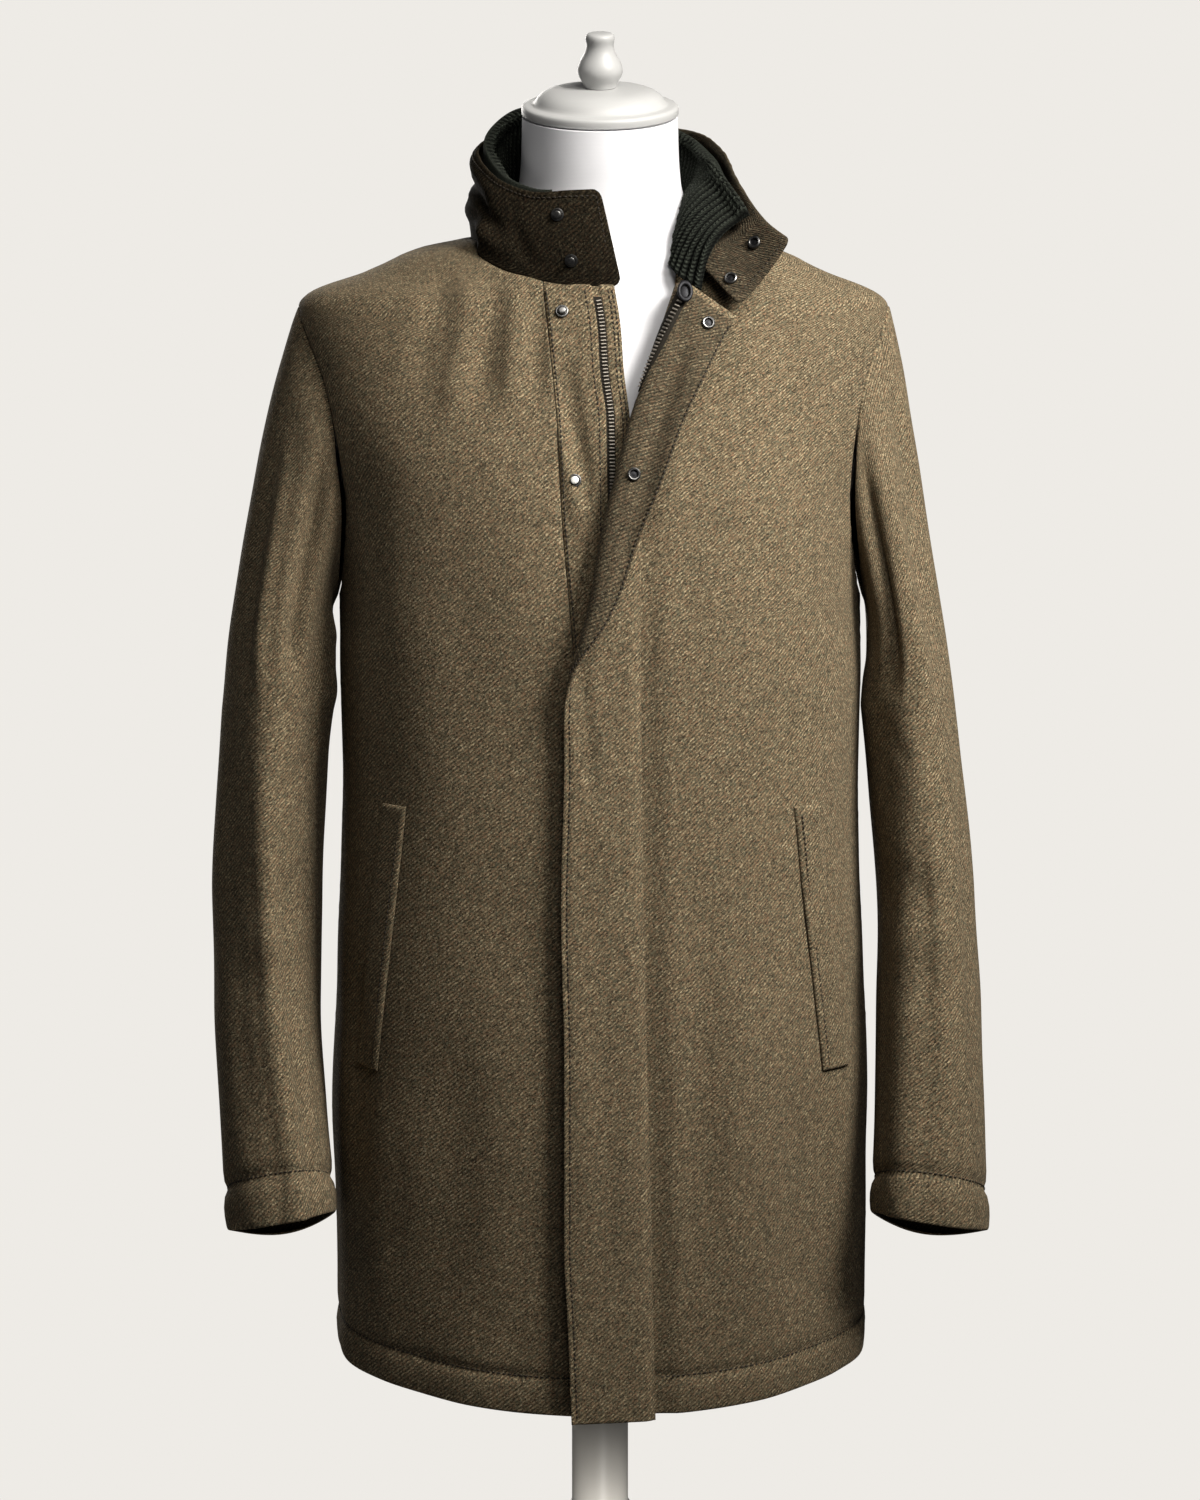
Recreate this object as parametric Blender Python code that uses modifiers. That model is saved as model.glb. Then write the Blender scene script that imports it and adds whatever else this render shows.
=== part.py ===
"""Winter coat on a dress form stand.

Metres, +Z up. The coat faces -Y and the origin is under the centre of the stand's base.
Angles round the body run from the front, 0, to the wearer's left side at +X, a quarter turn.
Each cloth piece is a grid that is extruded to a wall and then carried on to its own curved surface.
"""

import bisect
import math

import bmesh
import bpy
from mathutils import Matrix, Vector

# Cloth
WALL = 0.003
STRIP_WALL = 0.0025
TRIM_WALL = 0.0011
SEAM_GAP = 0.0003
REST_GAP = 0.0008
QUARTER = math.pi / 2

# Heights of the coat above the floor, at its sides
HEM = 0.6155
HEM_FRONT_DROP = 0.0215
HEM_FADE = 0.15
ARMPIT = 1.185
SHOULDER_TIP = 1.400
NECK_SIDE = 1.4508
NECK_FRONT_DROP = 0.030
NECK_BACK_DROP = 0.004
NECK_ROUNDNESS = 5

# Armhole, an oval in side view
ARMHOLE_MIDDLE = (ARMPIT + SHOULDER_TIP) / 2
ARMHOLE_RISE = (SHOULDER_TIP - ARMPIT) / 2
ARMHOLE_REACH = {"front": 0.062, "back": 0.066}

# Grid sizes
SLEEVE_SIDES = 18
SKIRT_ROWS = 10
YOKE_HEIGHTS = (1.412, 1.427, 1.440)
FRONT_COLUMNS = 9
BACK_COLUMNS = 16

# Outside of the coat's body, one row a height
BODY = {
    "height": (0.580, 0.700, 0.800, 0.900, 1.000, 1.060, 1.150, 1.190, 1.250, 1.300,
               1.350, 1.385, 1.400, 1.408, 1.424, 1.4415, 1.4508, 1.4600),
    "half_width": (0.2005, 0.2010, 0.2030, 0.1985, 0.1945, 0.1935, 0.1940, 0.1945, 0.1980, 0.2065,
                   0.2150, 0.2195, 0.2175, 0.2110, 0.1715, 0.1330, 0.0950, 0.0820),
    "front_depth": (0.150, 0.151, 0.154, 0.155, 0.153, 0.152, 0.151, 0.149, 0.142, 0.131,
                    0.114, 0.101, 0.095, 0.0915, 0.084, 0.0755, 0.0700, 0.0640),
    "back_depth": (0.150, 0.153, 0.156, 0.154, 0.148, 0.146, 0.147, 0.148, 0.147, 0.141,
                   0.128, 0.114, 0.106, 0.1010, 0.092, 0.0820, 0.0760, 0.0700),
    "shift": (0.001, 0.001, 0.000, 0.000, 0.000, 0.000, 0.000, 0.000, -0.001, -0.003,
              -0.004, -0.0045, -0.0045, -0.0045, -0.003, -0.002, -0.001, 0.000),
}
SQUARENESS = 0.05

# Soft folds of the body: turn in degrees, height, half spreads, and rise of the ridge or trough
BODY_FOLDS = (
    {"turn": -17, "height": 1.395, "half_turn": 6, "half_height": 0.05, "rise": 0.0020},
    {"turn": -25, "height": 1.390, "half_turn": 6, "half_height": 0.06, "rise": -0.0015},
    {"turn": -64, "height": 0.600, "half_turn": 14, "half_height": 0.30, "rise": 0.0030},
    {"turn": -40, "height": 0.600, "half_turn": 12, "half_height": 0.22, "rise": -0.0025},
    {"turn": 46, "height": 0.600, "half_turn": 12, "half_height": 0.26, "rise": -0.0025},
    {"turn": 70, "height": 0.600, "half_turn": 13, "half_height": 0.20, "rise": 0.0030},
    {"turn": 112, "height": 0.600, "half_turn": 15, "half_height": 0.34, "rise": -0.0040},
    {"turn": 138, "height": 0.600, "half_turn": 15, "half_height": 0.28, "rise": 0.0040},
    {"turn": 166, "height": 0.600, "half_turn": 14, "half_height": 0.38, "rise": -0.0045},
    {"turn": 194, "height": 0.600, "half_turn": 15, "half_height": 0.30, "rise": 0.0040},
    {"turn": 222, "height": 0.600, "half_turn": 14, "half_height": 0.36, "rise": -0.0040},
    {"turn": 248, "height": 0.600, "half_turn": 13, "half_height": 0.24, "rise": 0.0030},
)

# Front edges, as distances from the middle at each height
STRIP_SEAM = {
    "height": (0.580, 1.100, 1.157, 1.198, 1.257, 1.324, 1.361, 1.398, 1.430),
    "across": (-0.0180, -0.0180, -0.0190, -0.0224, -0.0274, -0.0309, -0.0345, -0.0387, -0.0437),
}
GUARD_EDGE = {
    "height": (0.580, 1.100, 1.200, 1.260, 1.324, 1.361, 1.391, 1.430),
    "across": (0.0240, 0.0225, 0.0220, 0.0225, 0.0216, 0.0172, 0.0151, 0.0085),
}
PLACKET_SEAM = {
    "height": (0.580, 0.722, 0.942, 1.085, 1.210, 1.269, 1.324, 1.380, 1.430),
    "across": (0.0411, 0.0379, 0.0325, 0.0302, 0.0293, 0.0320, 0.0445, 0.0560, 0.0680),
}
PLACKET_EDGE = {
    "height": (0.580, 0.676, 0.724, 0.863, 0.975, 1.086, 1.150, 1.210, 1.300, 1.430),
    "across": (-0.0198, -0.0234, -0.0255, -0.0253, -0.0274, -0.0250, -0.0270, -0.0290, -0.0220, 0.0020),
}
ROLL_START = {
    "height": (0.580, 1.060, 1.100, 1.150, 1.197, 1.2515, 1.288, 1.3256, 1.382, 1.430),
    "across": (-0.0400, -0.0330, -0.0240, -0.0130, 0.0002, 0.0103, 0.0196, 0.0289, 0.0474, 0.0650),
}
SEAM_LAP = 0.006
ROLL_RADIUS = 0.006
PLACKET_SEAT = 0.0008
PLACKET_LIFT = 0.0027
PLACKET_EDGE_LIFT = 0.0025
PLACKET_BOTTOM = 0.592
PLACKET_TOP = 1.419
PLACKET_ROWS = 26
ZIP_FROM_GUARD = 0.0140
ZIP_FROM_EDGE = 0.0400
ZIP_WIDTH = 0.0075
ZIP_RIGHT_SPAN = (0.680, 1.413)
ZIP_LEFT_SPAN = (1.345, 1.414)
FACING_SPAN = (1.205, 1.416)
FACING_MARGIN = 0.0040
FACING_ROLL_CLEAR = 0.0065

# Sleeves, one row a height: middle of the tube, half sizes and how much lower the outer side is
SLEEVES = {
    "right": {
        "height": (1.100, 1.030, 0.960, 0.884, 0.807, 0.727),
        "across": (0.2411, 0.2458, 0.2489, 0.2490, 0.2442, 0.2370),
        "forward": (0.002, 0.008, 0.018, 0.034, 0.055, 0.081),
        "half_width": (0.0404, 0.0397, 0.0401, 0.0400, 0.0401, 0.0402),
        "half_depth": (0.078, 0.076, 0.072, 0.067, 0.062, 0.057),
        "outer_drop": (0.00, 0.00, 0.00, 0.03, 0.08, 0.18),
    },
    "left": {
        "height": (1.100, 1.030, 0.960, 0.884, 0.807, 0.727),
        "across": (0.2302, 0.2376, 0.2440, 0.2461, 0.2462, 0.2455),
        "forward": (0.002, 0.008, 0.018, 0.034, 0.055, 0.081),
        "half_width": (0.0342, 0.0360, 0.0356, 0.0386, 0.0411, 0.0440),
        "half_depth": (0.078, 0.076, 0.072, 0.067, 0.062, 0.057),
        "outer_drop": (0.00, 0.00, 0.00, 0.03, 0.08, 0.16),
    },
}
SLEEVE_HEADS = {"right": {"leave": 0.081, "arrive": 0.026}, "left": {"leave": 0.050, "arrive": 0.035}}
ARMPIT_LEAVE = 0.035
HEAD_FALL = {"leave": 0.08, "leave_outer": 0.10, "arrive": 0.10, "arrive_outer": 0.16, "spread": 0.03, "draw": 0.01}
SLEEVE_HEAD_ROWS = 6
SLEEVE_ROWS = 15
SLEEVE_CLEAR = 0.0006

# Soft folds of a sleeve: turn from its outer side to the front in degrees, place along it, spreads and rise
SLEEVE_FOLDS = (
    {"turn": 48, "along": 0.55, "half_turn": 22, "half_along": 0.45, "rise": -0.0040},
    {"turn": -50, "along": 0.60, "half_turn": 24, "half_along": 0.45, "rise": -0.0040},
    {"turn": 110, "along": 1.38, "half_turn": 55, "half_along": 0.10, "rise": -0.0035},
    {"turn": 95, "along": 1.55, "half_turn": 50, "half_along": 0.09, "rise": -0.0030},
    {"turn": -90, "along": 1.45, "half_turn": 45, "half_along": 0.16, "rise": 0.0025},
)

# Collar stations from the tab end round the back to the open end: turn round the neck and the top edge
COLLAR = {
    "turn": (2, -8, -20, -50, -90, -135, -180, -225, -270, -305, -332),
    "top_x": (0.000, -0.022, -0.052, -0.080, -0.0910, -0.066, 0.000, 0.066, 0.0900, 0.1010, 0.1180),
    "top_y": (-0.087, -0.087, -0.077, -0.047, 0.000, 0.050, 0.069, 0.050, 0.000, -0.046, -0.080),
    "top_z": (1.486, 1.4865, 1.487, 1.499, 1.516, 1.527, 1.531, 1.527, 1.516, 1.494, 1.468),
}
COLLAR_END_BASE = Vector((0.1020, -0.1060, 1.4080))
COLLAR_END_TOP = Vector((0.1370, -0.0960, 1.4530))
COLLAR_SEAT = 0.0009
COLLAR_ROLL_SEAT = Vector((0.0, -0.0040, 0.0050))
COLLAR_BOW = 0.0030
COLLAR_COLUMNS = 36
COLLAR_ROWS = 4

# Ribbed knit inside the collar
RIB_GAP = 0.0016
RIB_RISE = 0.0009
RIB_WALL = 0.0022
RIB_COUNT = 92
RIB_START = 0.08
RIB_END = 0.94
RIB_TOP = 1.10
RIB_BOTTOM = 0.05

# Pocket welts: top and bottom of the opening edge, on the wearer's right; the left mirrors it
WELT_TOP = {"across": 0.1400, "height": 1.0440}
WELT_BOTTOM = {"across": 0.1640, "height": 0.8440}
WELT_WIDTH = 0.0180
WELT_WALL = 0.0025

# Press fasteners
SNAP_RADIUS = 0.0047
SNAP_RISE = 0.0014
STUD_NIB_RADIUS = 0.0021
STUD_NIB_RISE = 0.0032
SOCKET_HOLE = 0.0020

# Dress form and stand
FORM_INSET = {
    "height": (0.800, 0.900, 1.000, 1.100, 1.200, 1.300, 1.360, 1.4508),
    "inset": (0.034, 0.036, 0.040, 0.030, 0.015, 0.0085, 0.0056, 0.0053),
}
FORM_BOTTOM = 0.800
FORM_HEIGHTS = (FORM_BOTTOM, 0.880, 0.960, 1.040, 1.120, 1.200, 1.270, 1.330, 1.375, 1.400, 1.412, 1.427, 1.440,
                NECK_SIDE)
FORM_SIDES = 28
NECK = {
    "height": (1.4630, 1.4750, 1.4900, 1.5120, 1.5390),
    "half_width": (0.0740, 0.0640, 0.0595, 0.0578, 0.0570),
    "half_depth": (0.0640, 0.0620, 0.0610, 0.0600, 0.0590),
    "forward": (0.0010, 0.0030, 0.0050, 0.0080, 0.0110),
    "tilt": (0.00, 0.05, 0.20, 0.60, 1.00),
}
CAP_TILT = math.radians(9.5)
CAP_CENTRE = Vector((0.0, -0.0112, 1.5395))
CAP_RADIUS = 0.0575
FINIAL_SEAT = 0.0208
POLE_RADIUS = 0.0215
BASE_RADIUS = 0.190
BASE_THICKNESS = 0.022
TURNED_STEPS = 24


def monotone_slopes(xs, ys):
    """Slopes at the rows of a table for a smooth curve that never overshoots them."""
    steps = [(ys[i + 1] - ys[i]) / (xs[i + 1] - xs[i]) for i in range(len(xs) - 1)]
    slopes = [steps[0]]
    for before, after in zip(steps, steps[1:]):
        slopes.append(2 * before * after / (before + after) if before * after > 0 else 0.0)
    slopes.append(steps[-1])
    return slopes


def flowing_slopes(xs, ys):
    """Slopes for a curve that flows through the rows, as round a neck."""
    last = len(xs) - 1
    ends = [(max(i - 1, 0), min(i + 1, last)) for i in range(last + 1)]
    return [(ys[b] - ys[a]) / (xs[b] - xs[a]) for a, b in ends]


class Curve:
    """A smooth curve through a table's rows."""

    def __init__(self, table, column, key="height", slopes=monotone_slopes):
        order = 1 if table[key][0] < table[key][-1] else -1
        self.xs = list(table[key])[::order]
        self.ys = list(table[column])[::order]
        self.slopes = slopes(self.xs, self.ys)

    def __call__(self, x):
        xs, ys, slopes = self.xs, self.ys, self.slopes
        x = min(max(x, xs[0]), xs[-1])
        i = min(max(bisect.bisect_right(xs, x) - 1, 0), len(xs) - 2)
        step = xs[i + 1] - xs[i]
        t = (x - xs[i]) / step
        start = ys[i] + step * t * (1 - t) * (1 - t) * slopes[i]
        end = -step * t * t * (1 - t) * slopes[i + 1]
        return start + (ys[i + 1] - ys[i]) * t * t * (3 - 2 * t) + end


def smooth(t):
    t = min(max(t, 0.0), 1.0)
    return t * t * (3 - 2 * t)


def bump(distance, spread):
    """A soft bell, 1 at no distance and 0 from the spread on."""
    return (1 - (distance / spread) ** 2) ** 2 if abs(distance) < spread else 0.0


def solve(function, target, low, high):
    """Where a rising function meets the target, by halving."""
    for _ in range(44):
        middle = (low + high) / 2
        if function(middle) < target:
            low = middle
        else:
            high = middle
    return (low + high) / 2


BODY_CURVES = {column: Curve(BODY, column) for column in BODY if column != "height"}


def body_fold(angle, height):
    rise = 0.0
    turn = math.degrees(angle)
    for fold in BODY_FOLDS:
        away = (turn - fold["turn"] + 180) % 360 - 180
        rise += fold["rise"] * bump(away, fold["half_turn"]) * bump(height - fold["height"], fold["half_height"])
    return rise


def body_ring(angle, height):
    half_width = BODY_CURVES["half_width"](height)
    side = "front_depth" if math.cos(angle) > 0 else "back_depth"
    depth = BODY_CURVES[side](height)
    swell = 1 + SQUARENESS * math.sin(2 * angle) ** 2
    x = BODY_CURVES["shift"](height) + half_width * math.sin(angle) * swell
    return Vector((x, -depth * math.cos(angle) * swell, height))


def body_normal(angle, height):
    turn, rise = 0.002, 0.0005
    across = body_ring(angle + turn, height) - body_ring(angle - turn, height)
    up = body_ring(angle, height + rise) - body_ring(angle, height - rise)
    return across.cross(up).normalized()


def body_point(angle, height, lift=0.0):
    """A point on the outside of the coat, moved out by the lift."""
    return body_ring(angle, height) + body_normal(angle, height) * (lift + body_fold(angle, height))


def front_angle(x, height):
    """The turn at which the front of the body lies this far across."""
    return solve(lambda angle: body_ring(angle, height).x, x, -1.2, 1.2)


def front_point(x, height, lift=0.0):
    return body_point(front_angle(x, height), height, lift)


def row_height(side_height, angle):
    """Rows are level in the skirt, dip at the front hem and fall from the shoulders to the front of the neck."""
    facing = math.cos(angle)
    hem_share = 1 - smooth((side_height - HEM) / HEM_FADE)
    hem_dip = HEM_FRONT_DROP * facing * abs(facing) * hem_share if facing > 0 else 0.0
    neck_drop = NECK_FRONT_DROP if facing > 0 else NECK_BACK_DROP
    rise = max(0.0, side_height - ARMPIT) / (NECK_SIDE - ARMPIT)
    return side_height - hem_dip - neck_drop * rise * abs(facing) ** NECK_ROUNDNESS


def armhole_heights():
    steps = range(SLEEVE_SIDES // 2 - 1, 0, -1)
    return [ARMHOLE_MIDDLE + ARMHOLE_RISE * math.cos(2 * math.pi * k / SLEEVE_SIDES) for k in steps]


def side_heights():
    skirt = [HEM + (ARMPIT - HEM) * k / SKIRT_ROWS for k in range(SKIRT_ROWS)]
    return skirt + [ARMPIT] + armhole_heights() + [SHOULDER_TIP] + list(YOKE_HEIGHTS) + [NECK_SIDE]


SIDE_HEIGHTS = side_heights()


def armhole_angle(side_height, face):
    """Turn from the front at which a panel ends: side seam, armhole or shoulder seam."""
    share = (side_height - ARMHOLE_MIDDLE) / ARMHOLE_RISE
    reach = ARMHOLE_REACH[face] * math.sqrt(max(0.0, 1 - share * share))
    reach = max(reach, SEAM_GAP / 2)
    low, high = (0.8, QUARTER) if face == "front" else (QUARTER, math.pi - 0.8)
    target = -reach if face == "front" else reach
    return solve(lambda angle: body_ring(angle, side_height).y, target, low, high)


def material(name, colour, roughness, metallic=0.0):
    made = bpy.data.materials.new(name)
    made.use_nodes = True
    shader = made.node_tree.nodes["Principled BSDF"]
    shader.inputs["Base Color"].default_value = (*colour, 1.0)
    shader.inputs["Roughness"].default_value = roughness
    shader.inputs["Metallic"].default_value = metallic
    return made


def add_object(name, mesh, finish):
    mesh.materials.append(finish)
    mesh.shade_smooth()
    mesh.set_sharp_from_angle(angle=math.radians(40))
    made = bpy.data.objects.new(name, mesh)
    bpy.data.collections["winter_coat"].objects.link(made)
    return made


def closed_object(name, bm, finish):
    """Turns the faces of a closed mesh outwards and makes it an object."""
    bmesh.ops.recalc_face_normals(bm, faces=bm.faces[:])
    if bm.calc_volume(signed=True) < 0:
        bmesh.ops.reverse_faces(bm, faces=bm.faces[:])
    mesh = bpy.data.meshes.new(name)
    bm.to_mesh(mesh)
    bm.free()
    return add_object(name, mesh, finish)


def cloth_wall(name, finish, columns, rows, place, tube=False):
    """A grid extruded to a wall. place(u, v, depth) gives each point; depth is 0 outside and 1 inside."""
    bm = bmesh.new()
    bmesh.ops.create_grid(bm, x_segments=columns, y_segments=rows, size=0.5)
    for vert in bm.verts:
        vert.co.x += 0.5
        vert.co.y += 0.5
    if tube:
        for vert in bm.verts:
            turn = 2 * math.pi * vert.co.x
            vert.co = (math.cos(turn), math.sin(turn), vert.co.y)
        bmesh.ops.remove_doubles(bm, verts=bm.verts[:], dist=1e-5)
    grown = bmesh.ops.extrude_face_region(bm, geom=bm.faces[:], use_keep_orig=True)
    inside = {item for item in grown["geom"] if isinstance(item, bmesh.types.BMVert)}
    for vert in bm.verts:
        u, v = vert.co.x, vert.co.y
        if tube:
            u, v = math.atan2(vert.co.y, vert.co.x) / (2 * math.pi) % 1.0, vert.co.z
        vert.co = place(u, v, 1.0 if vert in inside else 0.0)
    return closed_object(name, bm, finish)


def body_panel(name, finish, columns, start, end):
    """A panel of the body between two angles, each given for a row's height at the side."""
    last = len(SIDE_HEIGHTS) - 1

    def place(u, v, depth):
        side_height = SIDE_HEIGHTS[round(v * last)]
        first = start(side_height)
        angle = first + (end(side_height) - first) * u
        height = row_height(side_height, angle)
        return body_point(angle, height, -WALL * depth)

    return cloth_wall(name, finish, columns, last, place)


def edge_angle(table, offset=0.0):
    """The angle of a front edge for a row, from its distance across."""
    across = Curve(table, "across")

    def angle(side_height):
        height = row_height(side_height, 0.15)
        return front_angle(across(height) + offset, height)

    return angle


def make_body(wool):
    strip_seam = edge_angle(STRIP_SEAM, -SEAM_GAP / 2)
    tucked = edge_angle(PLACKET_SEAM, -SEAM_LAP)
    body_panel("front_right", wool, FRONT_COLUMNS, strip_seam, lambda h: -armhole_angle(h, "front"))
    body_panel("front_left", wool, FRONT_COLUMNS, tucked, lambda h: armhole_angle(h, "front"))
    body_panel("back", wool, BACK_COLUMNS, lambda h: armhole_angle(h, "back"),
               lambda h: 2 * math.pi - armhole_angle(h, "back"))
    body_panel("underlap_right", wool, 3, edge_angle(STRIP_SEAM, SEAM_GAP / 2), edge_angle(GUARD_EDGE))


SEAM_ACROSS = Curve(PLACKET_SEAM, "across")
EDGE_ACROSS = Curve(PLACKET_EDGE, "across")
ROLL_ACROSS = Curve(ROLL_START, "across")
GUARD_ACROSS = Curve(GUARD_EDGE, "across")


def placket_width(height):
    return SEAM_ACROSS(height) - EDGE_ACROSS(height)


def placket_flat(height):
    """Width of the fly strip that lies on the chest, from its seam to the start of the roll."""
    return min(placket_width(height), max(0.0, SEAM_ACROSS(height) - ROLL_ACROSS(height)))


def placket_along(height, share):
    """Spreads the strip's columns so that half of them lie round the roll."""
    width = placket_width(height)
    roll = min(max(placket_flat(height), 0.15 * width), 0.60 * width)
    turned = min(max(roll + math.pi * ROLL_RADIUS, roll + 0.2 * width), 0.92 * width)
    if share < 0.25:
        return roll * share / 0.25
    if share < 0.75:
        return roll + (turned - roll) * (share - 0.25) / 0.5
    return turned + (width - turned) * (share - 0.75) / 0.25


def placket_point(height, along, above):
    """A point of the fly strip: along from its seam, round the roll where it turns out, and above its middle."""
    flat = min(along, placket_flat(height))
    lift = PLACKET_SEAT + (PLACKET_LIFT - PLACKET_SEAT) * smooth(flat / SEAM_LAP) + STRIP_WALL / 2
    lift += PLACKET_EDGE_LIFT * (flat / placket_width(height)) ** 3
    x = SEAM_ACROSS(height) - flat
    lean = (ROLL_ACROSS(height + 0.02) - ROLL_ACROSS(height - 0.02)) / 0.04
    double_turn = 2 * math.atan(max(0.0, lean))
    turned = along - flat
    curl = min(turned / ROLL_RADIUS, math.pi)
    straight = max(0.0, turned - math.pi * ROLL_RADIUS)
    sideways = -ROLL_RADIUS * math.sin(curl) + straight - above * -math.sin(curl)
    lift += ROLL_RADIUS * (1 - math.cos(curl)) + above * math.cos(curl)
    fall = math.sin(double_turn) * (straight + ROLL_RADIUS * (1 - math.cos(curl)) / 2)
    shift = sideways * (math.cos(double_turn) if straight else 1.0)
    return front_point(x + shift, height - fall, lift)


def make_placket(wool, facing, metal):
    def strip(u, v, depth):
        height = PLACKET_BOTTOM + (PLACKET_TOP - PLACKET_BOTTOM) * v
        return placket_point(height, placket_along(height, u), STRIP_WALL * (0.5 - depth))

    def facing_skin(u, v, depth):
        height = FACING_SPAN[0] + (FACING_SPAN[1] - FACING_SPAN[0]) * v
        width = placket_width(height)
        zip_side = width - ZIP_FROM_EDGE + ZIP_WIDTH / 2 + 0.001
        first = max(zip_side, placket_flat(height) + FACING_ROLL_CLEAR)
        last = width - FACING_MARGIN
        turned = min(max(placket_flat(height) + math.pi * ROLL_RADIUS, first + 0.3 * (last - first)), last - 0.002)
        along = first + (turned - first) * 2 * u if u < 0.5 else turned + (last - turned) * (2 * u - 1)
        return placket_point(height, along, -STRIP_WALL / 2 - REST_GAP - TRIM_WALL * depth)

    def left_tape(u, v, depth):
        height = ZIP_LEFT_SPAN[0] + (ZIP_LEFT_SPAN[1] - ZIP_LEFT_SPAN[0]) * v
        along = placket_width(height) - ZIP_FROM_EDGE + ZIP_WIDTH * (u - 0.5)
        return placket_point(height, along, -STRIP_WALL / 2 - REST_GAP - SEAM_GAP - TRIM_WALL * depth)

    def right_tape(u, v, depth):
        height = ZIP_RIGHT_SPAN[0] + (ZIP_RIGHT_SPAN[1] - ZIP_RIGHT_SPAN[0]) * v
        x = GUARD_ACROSS(height) - ZIP_FROM_GUARD + ZIP_WIDTH * (u - 0.5)
        return front_point(x, height, REST_GAP + TRIM_WALL * (1 - depth))

    cloth_wall("placket_left", wool, 12, PLACKET_ROWS, strip)
    cloth_wall("facing_left", facing, 8, 14, facing_skin)
    cloth_wall("zip_left", metal, 2, 5, left_tape)
    cloth_wall("zip_right", metal, 2, 18, right_tape)


class Sleeve:
    """One sleeve: a head that leaves the armhole and a tube that bends forward to the cuff."""

    def __init__(self, side):
        self.sign = -1 if side == "right" else 1
        self.table = SLEEVES[side]
        self.head = SLEEVE_HEADS[side]
        self.curves = {column: Curve(self.table, column) for column in self.table if column != "height"}
        self.top = self.table["height"][0]
        self.bottom = self.table["height"][-1]

    def armhole(self, turn):
        """The armhole's edge and the body's direction out there, for a turn from the shoulder tip to the front."""
        side_height = ARMHOLE_MIDDLE + ARMHOLE_RISE * math.cos(turn)
        face = "front" if math.sin(turn) >= 0 else "back"
        angle = self.sign * armhole_angle(side_height, face)
        height = row_height(side_height, angle)
        return body_point(angle, height), body_normal(angle, height)

    def ring(self, turn, height):
        value = {column: curve(height) for column, curve in self.curves.items()}
        step = 0.01
        slope = (self.curves["forward"](height - step) - self.curves["forward"](height + step)) / (2 * step)
        ahead = Vector((0, -1, slope)).normalized()
        outward = Vector((self.sign, 0, -value["outer_drop"]))
        middle = Vector((self.sign * value["across"], -value["forward"], height))
        return middle + outward * value["half_width"] * math.cos(turn) + ahead * value["half_depth"] * math.sin(turn)

    def surface(self, turn, along):
        if along >= 1:
            return self.ring(turn, self.top + (self.bottom - self.top) * (along - 1))
        edge, _ = self.armhole(turn)
        outer = 0.5 + 0.5 * math.cos(turn)
        sideways = ARMPIT_LEAVE + (self.head["leave"] - ARMPIT_LEAVE) * outer
        fall = HEAD_FALL["leave"] + HEAD_FALL["leave_outer"] * outer
        leave = Vector((self.sign * sideways, -HEAD_FALL["spread"] * math.sin(turn), -fall))
        edge = edge + Vector((self.sign * SLEEVE_CLEAR, 0, 0)) + leave.normalized() * SEAM_GAP
        fall = HEAD_FALL["arrive"] + HEAD_FALL["arrive_outer"] * outer
        arrive = Vector((self.sign * self.head["arrive"] * outer, -HEAD_FALL["draw"], -fall))
        target = self.ring(turn, self.top)
        t = along
        start_share = (1 - t) ** 2 * (1 + 2 * t)
        point = edge * start_share + target * (1 - start_share)
        return point + leave * (t * (1 - t) ** 2) - arrive * (t * t * (1 - t))

    def fold(self, turn, along):
        rise = 0.0
        degrees = math.degrees(turn)
        for fold in SLEEVE_FOLDS:
            away = (degrees - fold["turn"] + 180) % 360 - 180
            rise += fold["rise"] * bump(away, fold["half_turn"]) * bump(along - fold["along"], fold["half_along"])
        return rise

    def place(self, u, v, depth):
        turn = 2 * math.pi * u
        head = SLEEVE_HEAD_ROWS / SLEEVE_ROWS
        along = v / head if v < head else 1 + (v - head) / (1 - head)
        step = 0.01
        low = max(along - step, 0.0)
        high = min(along + step, 2.0)
        round_way = self.surface(turn + step, along) - self.surface(turn - step, along)
        down = self.surface(turn, high) - self.surface(turn, low)
        normal = (round_way.cross(down) * self.sign).normalized()
        shared = smooth((math.cos(turn) + 0.2) / 0.7) * (1 - smooth(along / 0.3))
        if shared > 0:
            normal = normal.lerp(self.armhole(turn)[1], shared).normalized()
        return self.surface(turn, along) + normal * (self.fold(turn, along) - WALL * depth)


def make_sleeves(wool):
    for side in ("right", "left"):
        cloth_wall(f"sleeve_{side}", wool, SLEEVE_SIDES, SLEEVE_ROWS, Sleeve(side).place, tube=True)


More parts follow.
